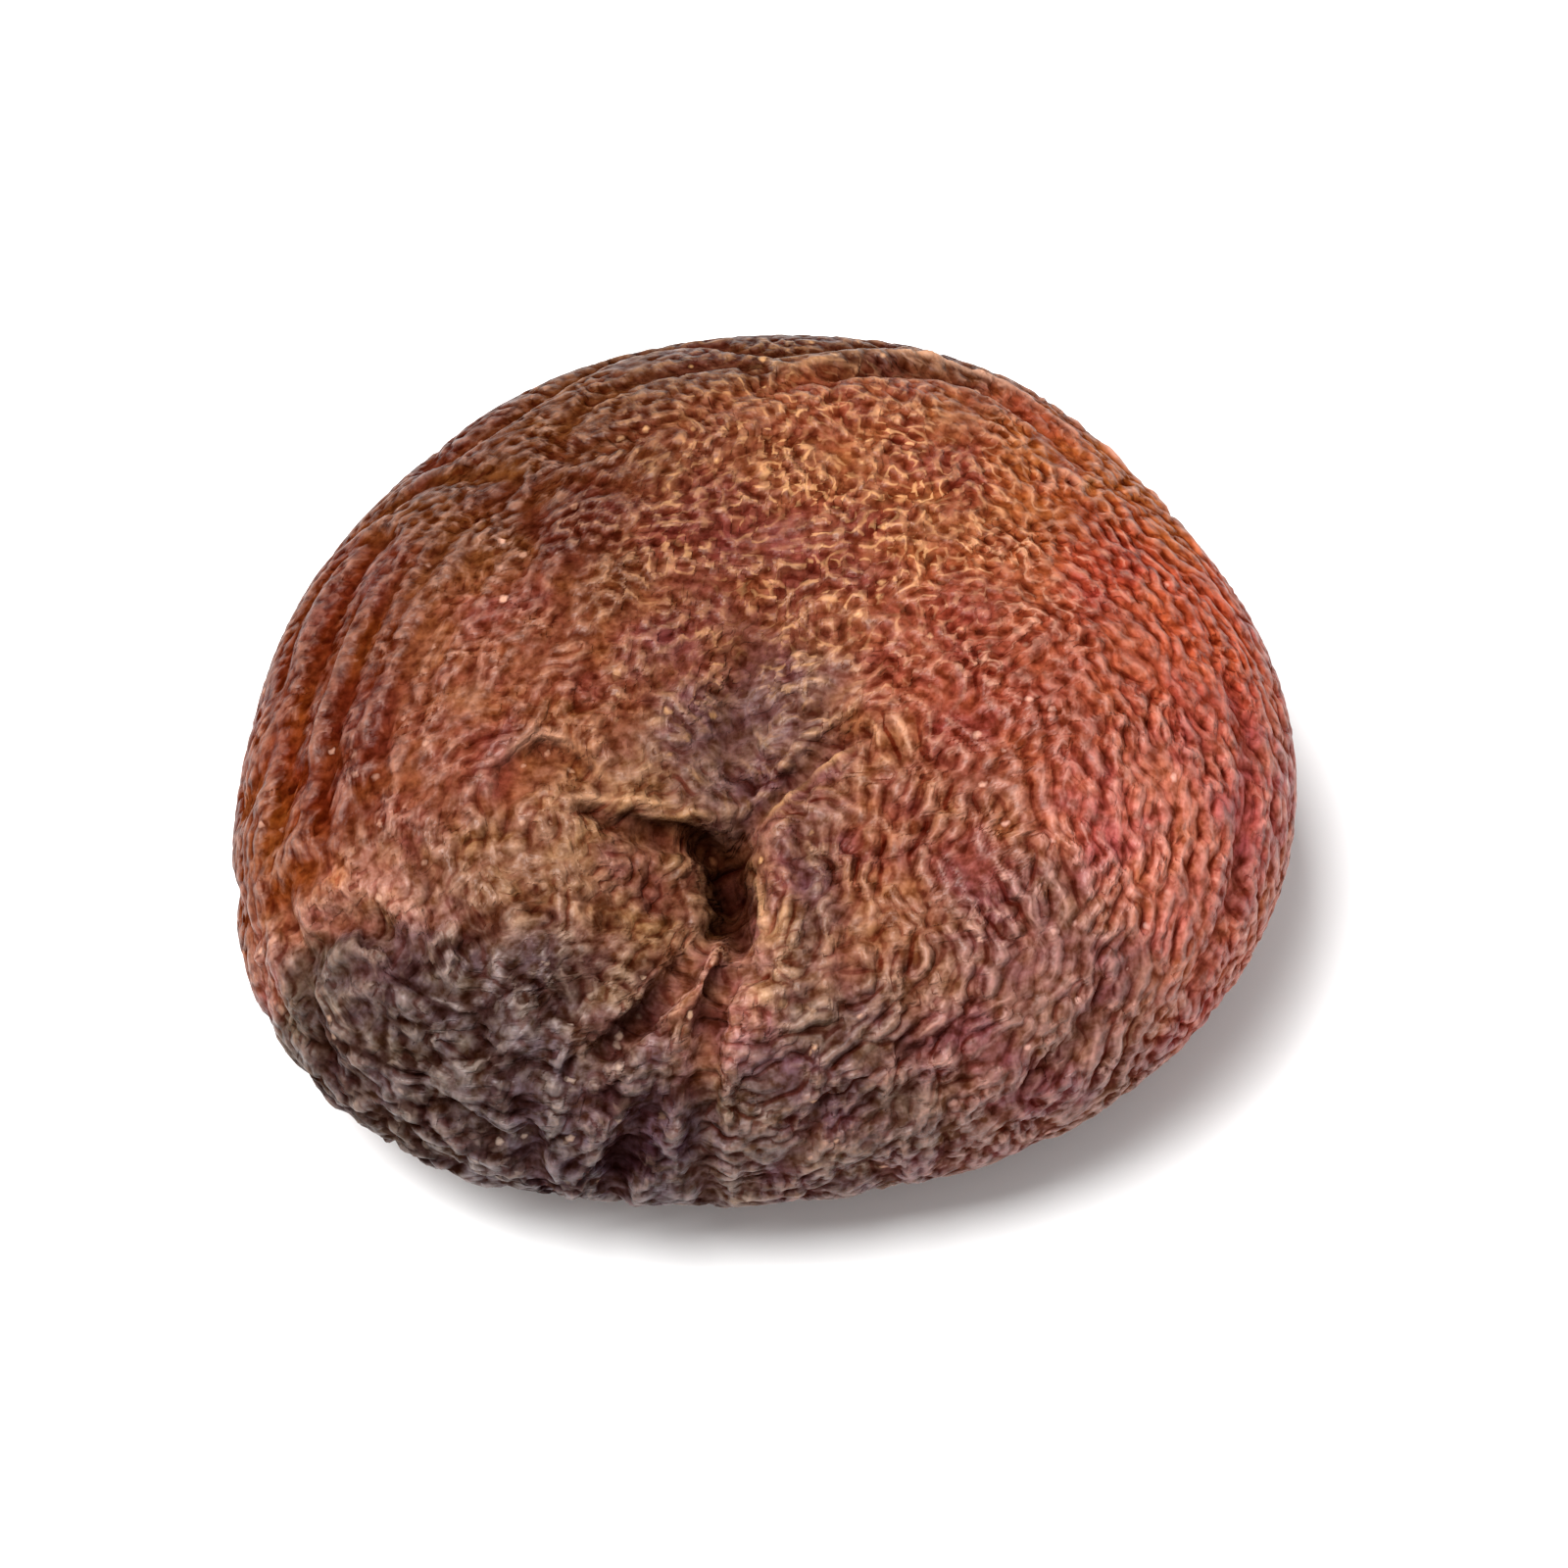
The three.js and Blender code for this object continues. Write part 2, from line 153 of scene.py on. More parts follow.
# %% The way down the side
SIDE_STEPS = 1440
HIDDEN_TURN, HIDDEN_FADE, HIDDEN_LESS = 1.7, 0.5, 0.6


def walk_side_view():
    """Turn, length of skin walked from the top, and the angle on a ball with the same share of area above.

    Past the hidden turn the area counts for less, so that the finest cells lie where they are seen.
    """
    turn = np.linspace(0, np.pi, SIDE_STEPS + 1)
    reach, rise = side_view(turn)
    step = np.hypot(np.diff(reach) * MEAN_RADIUS, np.diff(rise))
    length = np.concatenate([[0], np.cumsum(step)])
    counted = 1 - HIDDEN_LESS * np.clip((turn[1:] - HIDDEN_TURN) / HIDDEN_FADE, 0, 1)
    area = np.concatenate([[0], np.cumsum(step * (reach[1:] + reach[:-1]) * counted)])
    return turn, length, np.arccos(1 - 2 * area / area[-1])


TURNS, LENGTHS, BALL_ANGLES = walk_side_view()
print("skin from top to bottom, in mm:", round(LENGTHS[-1], 1))

# %% [markdown]
# ## A mesh without poles
# A globe's mesh crowds together at its poles, and this fruit is looked at right on its pole. So the mesh is
# six square grids, the sides of a box, blown up to a ball and moved onto the body so that each cell keeps
# its share of the skin. The cells are about a seventh of a millimetre wide, as the finest wrinkles need.


# %% Six grids on a ball
def ball_grids(steps):
    """Directions (tan of a quarter turn times u, the same of v, 1), made length 1, and the quads between."""
    t = np.tan(np.linspace(-1, 1, steps + 1) * np.pi / 4)
    u, v = np.meshgrid(t, t, indexing="ij")
    one = np.ones_like(u)
    sides = [(one, u, v), (-one, v, u), (v, one, u), (u, -one, v), (u, v, one), (v, u, -one)]
    points = np.concatenate([np.stack(side, -1).reshape(-1, 3) for side in sides])
    row = steps + 1
    first = (np.arange(steps)[:, None] * row + np.arange(steps)).ravel()
    cell = np.stack([first, first + row, first + row + 1, first + 1], -1)
    quads = np.concatenate([cell + side * row * row for side in range(6)])
    _, kept, merged = np.unique(points.round(6), axis=0, return_index=True, return_inverse=True)
    points = points[kept] / np.linalg.norm(points[kept], axis=1, keepdims=True)
    quads = merged.ravel()[quads]
    corners = points[quads]
    facing = np.cross(corners[:, 1] - corners[:, 0], corners[:, 2] - corners[:, 0])
    inwards = (facing * corners.mean(1)).sum(1) < 0
    quads[inwards] = quads[inwards][:, ::-1]
    return points, quads


def unit(vectors):
    """Each vector divided by its own length."""
    return vectors / np.maximum(np.linalg.norm(vectors, axis=-1, keepdims=True), 1e-9)


def normals(points, quads):
    """The sum at each point of the crossed diagonals of the quads round it, made length 1."""
    corners = points[quads]
    crossed = np.cross(corners[:, 2] - corners[:, 0], corners[:, 3] - corners[:, 1])
    sums = [np.bincount(quads.ravel(), np.repeat(axis, 4), len(points)) for axis in crossed.T]
    return unit(np.stack(sums, -1))


print("points and quads of a ball of one step:", *map(len, ball_grids(1)))

# %% The plain body as a mesh
GRID_STEPS = 128

ball, quads = ball_grids(GRID_STEPS)
angle = np.arctan2(ball[:, 1], ball[:, 0])
turn = np.interp(np.arccos(np.clip(ball[:, 2], -1, 1)), BALL_ANGLES, TURNS)
reach, rise = side_view(turn)
radius = reach * outline(angle)
body = np.stack([radius * np.cos(angle), radius * np.sin(angle), rise], -1)
body_normal = normals(body, quads)
x, y, z = body.T
print("points and quads:", len(body), len(quads))

# %% [markdown]
# ## A map of the skin
# Wrinkles keep to the skin, so they need a map that follows it. This one is like a peel spread out round the
# stem pit: each point has a bearing from the pit, and a length of skin to it.


# %% The map round the stem pit
def skin_map(angle, turn):
    """The length of skin from the pit, the bearing from it, and the radius of the level ring round it.

    The length is the length walked down the side at the same share of the way to the rim, scaled by how far
    the rim is from the pit in that bearing.
    """
    reach, _ = side_view(turn)
    pit = STEM_PIT / outline(np.arctan2(STEM_PIT[1], STEM_PIT[0]))
    away = np.stack([reach * np.cos(angle), reach * np.sin(angle)], -1) - pit
    distance = np.maximum(np.linalg.norm(away, axis=-1), 1e-6)
    heading = away / distance[..., None]
    facing = heading @ pit
    to_rim = np.sqrt(facing**2 + 1 - pit @ pit) - facing
    rim = heading * to_rim[..., None] + pit
    rim_place = rim * outline(np.arctan2(rim[..., 1], rim[..., 0]))[..., None]
    rim_distance = np.linalg.norm(rim_place - STEM_PIT, axis=-1)
    share_turn = np.arcsin(np.minimum(distance / to_rim, 1) ** (SQUARENESS / 2))
    walked = np.interp(np.where(turn < np.pi / 2, share_turn, np.pi - share_turn), TURNS, LENGTHS)
    length = walked * rim_distance / MEAN_RADIUS
    bearing = np.arctan2(heading[..., 1], heading[..., 0])
    return length, bearing, distance * MEAN_RADIUS


def planned_on_map(path):
    """Places seen from above, on the map. One past the outline lies as far down the side."""
    path = np.asarray(path, float)
    angle = np.arctan2(path[:, 1], path[:, 0])
    reach = np.hypot(path[:, 0], path[:, 1]) / outline(angle)
    turn = np.arcsin(np.where(reach > 1, 2 - reach, reach) ** (SQUARENESS / 2))
    length, bearing, _ = skin_map(angle, np.where(reach > 1, np.pi - turn, turn))
    return np.stack([length * np.cos(bearing), length * np.sin(bearing)], -1)


length, bearing, ring = skin_map(angle, turn)
map_x, map_y = length * np.cos(bearing), length * np.sin(bearing)
print("longest way from the pit, in mm:", round(length.max(), 1))

# %% [markdown]
# ## Hollows, lobes and folds
# A drying fruit loses its flesh but keeps its skin, so the skin sinks into broad hollows and folds into
# creases. The deepest folds run into the stem pit, like a bag drawn in by its cord. A fold is a groove along
# a curve through three points. The solid has the same folds, but wider, as its facets can't turn so sharply.

# %% The numbers of the broad forms and folds
FORMS = [
    # middle, size, lift: hollows sink and lobes rise
    ((-1.6, -6.2), (6.4, 6.0), -1.7),  # the dish round the pit
    ((-1.2, 1.6), (2.6, 5.0), -0.55),  # the trough behind it
    ((9.3, -2.5), (4.4, 7.0), 0.5),  # the full lobe on the right
    ((-9.0, -3.5), (3.4, 4.4), 0.35),  # the lower lobe on the left
    ((-10.5, 8.5), (4.5, 3.6), -0.5),  # the slack shoulder, back left
    ((3.0, 11.0), (6.0, 2.6), 0.3),  # the roll along the back
    ((-9.0, -11.0), (3.6, 3.0), -0.4),  # the sunken front left corner
    ((-3.9, -7.9), (1.9, 2.0), -1.1),  # the slope into the pit, left
    ((0.9, -8.2), (1.9, 3.6), 0.3),  # the lip of the pit, right
    ((-2.4, -11.5), (0.9, 1.6), 0.4),  # the tongue below the pit
]
FOLDS = [
    # three points of the path, half width, depth at each of the three
    ([(-2.0, -6.0), (-1.75, -8.1), (-1.4, -10.2)], 0.95, (2.2, 2.4, 0.5)),  # the throat of the pit
    ([(-2.6, -5.9), (-4.4, -5.9), (-6.4, -5.1)], 0.85, (0.5, 0.5, 0.2)),  # below the rim over the pit
    ([(-2.9, -9.4), (-4.2, -11.7), (-6.6, -13.3)], 0.9, (0.65, 0.7, 0.3)),  # the left front furrow
    ([(-1.2, -10.6), (-2.7, -12.8), (-2.5, -15.2)], 0.9, (0.7, 0.8, 0.3)),  # the right front furrow
    ([(-3.4, -13.9), (-4.6, -14.6), (-6.1, -15.4)], 0.9, (0.3, 0.7, 0.3)),  # low at the front
    ([(-1.3, -5.4), (0.4, -3.8), (2.4, -2.3)], 0.85, (0.6, 0.5, 0.2)),  # back and right from the pit
    ([(-1.5, -4.4), (-1.6, -1.4), (-0.9, 2.0)], 1.4, (0.4, 0.35, 0.15)),  # the bed of the trough
    ([(-9.2, -4.9), (-7.7, -3.2), (-5.9, -4.4)], 0.85, (0.2, 0.4, 0.3)),  # the arch left of the pit
    ([(-15.4, -8.8), (-14.2, -8.0), (-12.4, -9.2)], 0.9, (0.4, 0.7, 0.3)),  # inside the left ear
    ([(-16.5, -6.6), (-15.8, -9.0), (-15.0, -11.2)], 0.95, (0.3, 0.5, 0.3)),  # outside it
    ([(-13.6, 6.4), (-15.5, 1.4), (-16.4, -4.2)], 0.95, (0.3, 0.5, 0.3)),  # three along the left rim
    ([(-12.2, 5.2), (-14.2, 0.6), (-15.0, -4.6)], 0.95, (0.1, 0.4, 0.3)),
    ([(-10.1, 4.4), (-12.4, -0.2), (-13.4, -5.4)], 0.95, (0.2, 0.25, 0.1)),
    ([(-0.6, 10.8), (5.0, 12.1), (9.4, 9.2)], 0.95, (0.2, 0.45, 0.2)),  # along the back
    ([(-13.8, -10.9), (-12.0, -12.3), (-9.4, -12.0)], 0.9, (0.2, 0.3, 0.15)),  # across the front left
    ([(-7.6, -11.6), (-8.2, -13.4), (-7.7, -15.6)], 0.9, (0.15, 0.3, 0.15)),  # the notch at the front
    ([(-12.4, -13.0), (-10.4, -13.9), (-8.3, -14.6)], 0.9, (0.15, 0.3, 0.15)),  # the front left corner
    ([(0.1, -14.2), (2.6, -14.1), (5.6, -13.2)], 0.9, (0.2, 0.3, 0.15)),  # two at the front right
    ([(5.8, -13.7), (8.5, -12.2), (10.3, -10.2)], 0.9, (0.15, 0.3, 0.15)),
    ([(14.0, 2.0), (14.9, -3.6), (13.2, -8.5)], 1.0, (0.1, 0.3, 0.2)),  # down the right wall
]
UNDER_FOLDS = [
    # folds of the underside, which run in from the rim
    ([(-1.0, -14.0), (-2.6, -10.6), (-1.6, -7.6)], 1.1, (0.6, 0.8, 0.3)),
    ([(-14.4, -1.0), (-11.0, 0.6), (-7.6, 0.2)], 1.1, (0.6, 0.7, 0.2)),
    ([(-9.6, 10.6), (-7.0, 8.8), (-4.8, 7.0)], 1.1, (0.5, 0.6, 0.2)),
    ([(7.4, 12.2), (5.8, 9.0), (5.4, 6.6)], 1.1, (0.6, 0.7, 0.2)),
    ([(14.8, -5.4), (11.4, -3.6), (8.6, -3.4)], 1.1, (0.6, 0.7, 0.2)),
]
print("forms and folds:", len(FORMS), len(FOLDS) + len(UNDER_FOLDS))

# %% Folds as grooves along a curve
FOLD_POINTS = 28
LIP_HEIGHT, LIP_AWAY, LIP_WIDE = 0.25, 2, 0.8


def through(three, t):
    """The curve of the second order that passes its three values at t = 0, a half and 1."""
    start, middle, end = three
    return start * (1 - t) * (1 - 2 * t) + 4 * middle * t * (1 - t) + end * t * (2 * t - 1)


def sunk_by(path, half_width, deep, px, py):
    """Depth times a bell of the distance from the path, minus the lips: two low bells beside it.

    A lip is as high as a quarter of the depth over 1 plus the depth, so that deep folds have low lips too.
    """
    t = np.linspace(0, 1, FOLD_POINTS + 1)[:, None]
    line = through(np.asarray(path)[:, None, :], t)
    nearest = np.full(px.shape, np.inf)
    found = np.zeros(px.shape)
    for i, (start, end) in enumerate(zip(line[:-1], line[1:])):
        run = end - start
        share = np.clip(((px - start[0]) * run[0] + (py - start[1]) * run[1]) / (run @ run), 0, 1)
        gap = np.hypot(px - start[0] - share * run[0], py - start[1] - share * run[1])
        closer = gap < nearest
        nearest = np.where(closer, gap, nearest)
        found = np.where(closer, (i + share) / FOLD_POINTS, found)
    away = nearest / half_width
    depth = through(deep, found)
    lips = LIP_HEIGHT * depth / (1 + abs(depth)) * bell((away - LIP_AWAY) / LIP_WIDE)
    return depth * bell(away) - lips


def sunk_on_map(paths):
    """The sum of what the paths sink the skin by, where they are laid on the map."""
    return sum(sunk_by(planned_on_map(path), wide, deep, map_x, map_y) for path, wide, deep in paths)


print("half way along a curve through 0, 3 and 4:", through((0, 3, 4), 0.5))

# %% The relief of the forms and folds
UNDER_RIM = (1.9, 2.35)  # the turns between which the upper skin's pattern gives way to the underside's
FORMS_END = (1.35, 1.75)  # the turns between which the broad forms fade out
REST_EDGE = (4.6, 8.6)  # how far from the middle the folds of the underside begin and are full
DEEP = 1.0
CRISP, CRISPEST = 0.8, 0.55  # the widths of the deep folds and of the others against the solid's

over = 1 - ramp(turn, *UNDER_RIM)
off_rest = ramp(np.hypot(x, y), *REST_EDGE)
forms = sum(lift * patch_of(x, y, middle, size) for middle, size, lift in FORMS)
forms = forms * (1 - ramp(turn, *FORMS_END))
crisp_folds = [(path, wide * (CRISP if max(deep) > DEEP else CRISPEST), deep) for path, wide, deep in FOLDS]
upper_folds = sunk_on_map(crisp_folds)
lower_folds = sum(sunk_by(path, wide, deep, x, y) for path, wide, deep in UNDER_FOLDS)
relief = forms - over * upper_folds - (1 - over) * off_rest * lower_folds
print("relief of forms and folds, in mm:", relief.min().round(2), "to", relief.max().round(2))

# %% [markdown]
# ## The large wrinkles
# Where many waves of one length are added up, they cancel out along winding lines, much like the creases of
# a dried skin. Near the rim the waves run outwards from the pit, so the ridges between the creases run round
# the fruit. The solid has the same wrinkles, a little wider and stronger.

# %% Waves added up
WRINKLE_LENGTH, WRINKLE_DEPTH, VALLEY_WIDTH = 4.8, 0.42, 0.52
WAVES, SEED = 26, 20
RING_SPREAD = 1.0  # how far, in radians, a ridge may stray from running round the fruit
RING_SHARE = 0.85  # the ring on which a wave has its full pace, against the mean radius
PACE = 2 * np.pi / WRINKLE_LENGTH


def numbers_from(seed):
    """A stream of numbers from 0 to 1: the last one times 1664525 plus 1013904223, within two to the 32."""
    while True:
        seed = (seed * 1664525 + 1013904223) % 4294967296
        yield seed / 4294967296


def valley(total, slope_a, slope_b):
    """The bell of the sum over its own slope, so that all valleys are about as wide."""
    return bell(total / (np.hypot(slope_a, slope_b) * VALLEY_WIDTH + 1e-6))


def upper_wrinkle():
    """Valleys of a sum of cos(outwards times length plus around times bearing plus start).

    A wave fades where the ring round the pit is too small for its turns.
    """
    number = numbers_from(SEED)
    total = slope_out = slope_around = 0
    for _ in range(WAVES):
        lean = (2 * next(number) - 1) * RING_SPREAD
        outwards, around = PACE * np.cos(lean), round(PACE * np.sin(lean) * MEAN_RADIUS * RING_SHARE)
        phase = outwards * length + around * bearing + 2 * np.pi * next(number)
        kept = 1 / (1 + (abs(around) / (ring + 0.01) / PACE) ** 6)
        total = total + kept * np.cos(phase)
        slope_out = slope_out + kept * outwards * np.sin(phase)
        slope_around = slope_around + kept * around / (ring + 0.01) * np.sin(phase)
    return valley(total, slope_out, slope_around)


def lower_wrinkle():
    """Valleys of a sum of cos(wave times place plus start), with the waves running in all directions."""
    number = numbers_from(SEED + 1)
    total = slope_x = slope_y = 0
    for _ in range(WAVES):
        heading = 2 * np.pi * next(number)
        wave_x, wave_y = PACE * np.cos(heading), PACE * np.sin(heading)
        phase = wave_x * x + wave_y * y + 2 * np.pi * next(number)
        total = total + np.cos(phase)
        slope_x = slope_x + wave_x * np.sin(phase)
        slope_y = slope_y + wave_y * np.sin(phase)
    return valley(total, slope_x, slope_y)


upper_valleys, lower_valleys = upper_wrinkle(), lower_wrinkle()
print("share of the skin in valleys:", upper_valleys.mean().round(2), lower_valleys.mean().round(2))

# %% Large wrinkles
ON_CROWN, MORE_ON_RIM, LESS_IN_CORNER = 0.28, 0.34, 0.1

on_rim = ramp(reach, 0.6, 0.95)
in_corner = patch_of(x, y, (-9.5, -12.0), (6.5, 4.5))
by_furrows = patch_of(x, y, (-3.4, -12.0), (3.2, 2.6))
strength = ON_CROWN + MORE_ON_RIM * on_rim - LESS_IN_CORNER * in_corner
for weaker, place in (
    (0.7, patch_of(x, y, STEM_PIT, (2.6, 2.6))),
    (0.6, by_furrows),
    (0.7, ramp(x, 3, 10)),  # the plump right
    (0.5, patch_of(x, y, (-14.0, 2.0), (4.0, 7.0))),  # the thin folds of the left rim
):
    strength = strength * (1 - weaker * place)
upper_part = strength * upper_valleys
lower_part = off_rest * lower_valleys
relief = relief - WRINKLE_DEPTH * (lower_part + (upper_part - lower_part) * over)
form = body + body_normal * relief[:, None]
form[:, 2] = np.maximum(form[:, 2] + BELLY - FOOT_SINK, 0)
form_normal = normals(form, quads)
print("shaped fruit, in mm:", np.ptp(form, axis=0).round(2))

# %% [markdown]
# ## Waves for the fine wrinkles
# The finest creases have a direction: they run round the fruit, except where the skin is slack, and there
# they turn into little cushions. A sum of endless waves can't do that, so these wrinkles are made of many
# short ones. Each is a packet, a few wrinkles wide, with its own place and heading, and the phase of their
# sum gives even ridges that branch and end as real ones do.

# %% Wave packets
CELL_REACHES = 2.3  # the width of a cell, in reaches of a packet
PACKET_END = 5.3  # the square of the number of reaches at which a packet ends


def packet_phase(places, wave, along, reach, centres, starts):
    """The phase and strength of a sum of short waves.

    Each is a cosine along its wave vector, times e to the minus half the square of its distance from its
    centre. The distance is measured in units of the reach, and counts for less along the ridges. Places are
    sorted into cells, so that each packet meets only the places near it.
    """
    cell = CELL_REACHES * reach * along
    low = places.min(0) - 1.5 * cell
    count_across = np.floor((places.max(0) - low) / cell).astype(np.int64) + 3

    def cell_number(where):
        """One number for each cell: its three counts, each times the cells in the axes after it."""
        return (where[:, 0] * count_across[1] + where[:, 1]) * count_across[2] + where[:, 2]

    where = np.floor((places - low) / cell).astype(np.int64)
    number = cell_number(where)
    order = np.argsort(number, kind="stable")
    number = number[order]
    forward = unit(wave)
    total = np.zeros(len(places), complex)
    for side in np.ndindex(3, 3, 3):
        wanted = cell_number(where[centres] + np.array(side) - 1)
        first = np.searchsorted(number, wanted, "left")
        count = np.searchsorted(number, wanted, "right") - first
        packet = np.repeat(np.arange(len(centres)), count)
        within = np.arange(len(packet)) - np.repeat(np.cumsum(count) - count, count)
        place = order[first[packet] + within]
        gap = places[place] - places[centres[packet]]
        ahead = (gap * forward[packet]).sum(1)
        beside = np.maximum((gap * gap).sum(1) - ahead * ahead, 0)
        far = (ahead * ahead + beside / along**2) / reach**2
        near = far < PACKET_END
        packet, place, gap, far = packet[near], place[near], gap[near], far[near]
        weight = np.exp(-far / 2)
        phase = (gap * wave[packet]).sum(1) + starts[packet]
        total += np.bincount(place, weight * np.cos(phase), len(places))
        total += 1j * np.bincount(place, weight * np.sin(phase), len(places))
    return np.angle(total), np.abs(total)


print("a packet ends after this many reaches:", round(PACKET_END**0.5, 2))

# %% Soft random fields
CLOUD_WAVES, CLOUD_DIVISOR = 14, 3.5


def cloud(length, seed):
    """A soft random field, about -1.2 to 1.2: a sum of cosines of that length in random directions."""
    draw = np.random.default_rng(seed)
    ways = unit(draw.normal(size=(CLOUD_WAVES, 3)))
    starts = draw.uniform(0, 2 * np.pi, CLOUD_WAVES)
    return np.cos(form @ ways.T * (2 * np.pi / length) + starts).sum(1) / CLOUD_DIVISOR


def shaken(by, length, seed):
    """The fruit's points, each moved by that many mm times one soft random field for each axis."""
    return form + by * np.stack([cloud(length, seed + axis) for axis in range(3)], -1)


print("usual range of a cloud:", np.percentile(cloud(3.0, 1), [5, 95]).round(2))

# %% [markdown]
# ## Where the skin is slack, tight or webbed
# The skin is slack in the dusky corner at the front left, it has a fine net on the golden top, and at the
# two furrows in front of the pit it is drawn in, so the wrinkles turn there. On the upper side the waves run
# outwards from the pit, and on the underside from the middle.

# %% Ways and regions of the skin
from_pit = np.stack([x - STEM_PIT[0], y - STEM_PIT[1], 0 * x], -1) * over[:, None]
from_middle = np.stack([x, y, 0 * x], -1) * (1 - over)[:, None]
round_way = unit(np.cross(form_normal, from_pit + from_middle))
outward_way = np.cross(form_normal, round_way)

slack = patch_of(x, y, (-9.5, -12.5), (7.5, 5.0))
front = patch_of(x, y, (1.0, -15.0), (9.0, 4.0))
left_side = ramp(-x, 3, 10)
right_side = ramp(x, -1, 9)
web = over * patch_of(x, y, (3, 6), (7.5, 6.5))
finer = over * ramp(y, -6, 4) * (1 - 0.6 * ramp(x, 6, 13))
drawn_in = 1.4 * over * patch_of(x, y, (-3.2, -11.2), (2.4, 2.2))
print("share of the skin that is slack:", slack.mean().round(3))

# %% Fine waves on the fruit
BEND, BEND_LENGTH = 0.35, 6.0  # how far the ridges bend, in radians, and over what length
SHAKE, SHAKE_LENGTH = 0.09, 1.9  # how far the places are shaken, in mm, and over what length


def fine_waves(wave_length, stray, reach, packets, seed, along=1.0, turned=0.0):
    """Phase of many short waves that run out from the pit, and how fully they add up there, from 0 to 1.

    A wave leans from the outward way by what it is turned, drawn in and bent, plus a random angle that grows
    with its stray.
    """
    draw = np.random.default_rng(seed)
    centres = draw.choice(len(form), packets, replace=False)
    lean = turned + drawn_in + BEND * cloud(BEND_LENGTH, seed + 50) + draw.normal(size=len(form)) * stray
    lean = lean[centres]
    wave = outward_way[centres] * np.cos(lean)[:, None] + round_way[centres] * np.sin(lean)[:, None]
    wave = wave * (2 * np.pi / wave_length[centres])[:, None]
    places = shaken(SHAKE, SHAKE_LENGTH, seed + 60)
    phase, strength = packet_phase(places, wave, along, reach, centres, draw.uniform(0, 2 * np.pi, packets))
    return phase, np.minimum(strength / np.median(strength), 1)


def valleys(waves, narrow=1.2):
    """Sharp valleys between round ridges: 1 minus |cos half the phase|, to a power, times the fullness."""
    phase, fullness = waves
    return fullness * (1 - np.abs(np.cos(phase / 2))) ** narrow


print("bend of the ridges, in degrees:", np.degrees(BEND).round())

# %% [markdown]
# ## Creases and threads
# Some creases are so plain to see that they are placed one by one: round the pit, beside the ear and along
# the left rim. A thread is the opposite, a thin pale ridge where the skin is pinched. Both are laid on the
# map like the folds.

# %% Creases and threads placed one by one
CREASES = [
    # as for the folds
    ([(-9.6, -5.0), (-7.9, -3.0), (-6.0, -4.2)], 0.3, (0.15, 0.25, 0.15)),  # the arch left of the pit
    ([(-9.2, -5.6), (-7.9, -4.0), (-6.4, -5.0)], 0.3, (0.1, 0.2, 0.1)),
    ([(-2.6, -5.75), (-4.3, -5.6), (-6.3, -5.0)], 0.32, (0.55, 0.6, 0.25)),  # the dark line over the pit
    ([(-2.2, -8.8), (-3.9, -11.3), (-6.2, -13.2)], 0.32, (0.3, 0.35, 0.2)),  # the bottoms of two furrows
    ([(-1.5, -9.4), (-2.4, -12.2), (-2.5, -14.7)], 0.32, (0.35, 0.35, 0.1)),
    ([(0.4, -5.6), (0.6, -8.2), (0.7, -11.2)], 0.3, (0.06, 0.14, 0.1)),  # standing folds behind the lip
    ([(1.3, -6.2), (1.7, -8.6), (1.9, -11.6)], 0.3, (0.06, 0.12, 0.08)),
    ([(-1.0, -5.0), (0.6, -3.2), (2.6, -1.8)], 0.3, (0.15, 0.15, 0.08)),  # they fan out behind the pit
    ([(-1.3, -4.4), (0.2, -2.2), (1.6, -0.9)], 0.3, (0.15, 0.15, 0.08)),
    ([(-0.4, -5.2), (1.4, -4.0), (3.4, -2.9)], 0.3, (0.15, 0.1, 0.08)),
    ([(-1.5, -4.0), (-1.9, -1.6), (-1.3, 0.8)], 0.35, (0.12, 0.1, 0.05)),
    ([(-12.2, -5.9), (-11.5, -7.7), (-12.0, -9.8)], 0.35, (0.15, 0.3, 0.15)),  # beside the ear, on the left
    ([(-10.0, -6.4), (-8.9, -5.8), (-7.7, -6.6)], 0.3, (0.1, 0.25, 0.1)),
    ([(-13.1, 5.6), (-15.0, 1.0), (-15.8, -4.2)], 0.35, (0.05, 0.25, 0.15)),  # thin folds along the left rim
    ([(-11.4, 5.0), (-13.4, 0.2), (-14.2, -5.0)], 0.35, (0.1, 0.15, 0.05)),
    ([(-9.0, 5.2), (-11.2, 0.6), (-12.2, -4.6)], 0.35, (0.05, 0.15, 0.05)),
    ([(-14.6, -9.6), (-12.8, -9.9), (-11.0, -11.1)], 0.35, (0.2, 0.3, 0.2)),  # between the dark cushions
    ([(2.6, -12.9), (4.5, -12.5), (6.3, -11.5)], 0.3, (0.2, 0.3, 0.1)),  # low at the front right
]
THREADS = [
    # as for the folds, with heights for depths
    ([(-7.4, -4.9), (-5.2, -4.6), (-3.0, -5.1)], 0.14, (0.05, 0.08, 0.06)),  # the pale rim over the pit
    ([(-0.2, 11.6), (5.2, 12.9), (9.8, 9.8)], 0.2, (0.04, 0.1, 0.04)),  # the thin rolls along the back
    ([(5.4, 13.4), (10.8, 10.2), (13.8, 5.8)], 0.18, (0.03, 0.09, 0.03)),
    ([(8.4, 7.2), (9.0, 8.1), (9.6, 7.3)], 0.18, (0.06, 0.12, 0.06)),  # the rim of the dry spot
    ([(-1.0, -7.0), (-0.75, -8.6), (-0.8, -10.2)], 0.15, (0.05, 0.12, 0.06)),  # the pale edge of the lip
    ([(-9.6, -4.6), (-7.9, -2.6), (-6.0, -3.8)], 0.15, (0.06, 0.12, 0.06)),  # the pale edge of the arch
    ([(-0.9, -5.2), (0.8, -3.7), (2.9, -2.5)], 0.15, (0.05, 0.1, 0.06)),  # a pale fold out of the pit
]
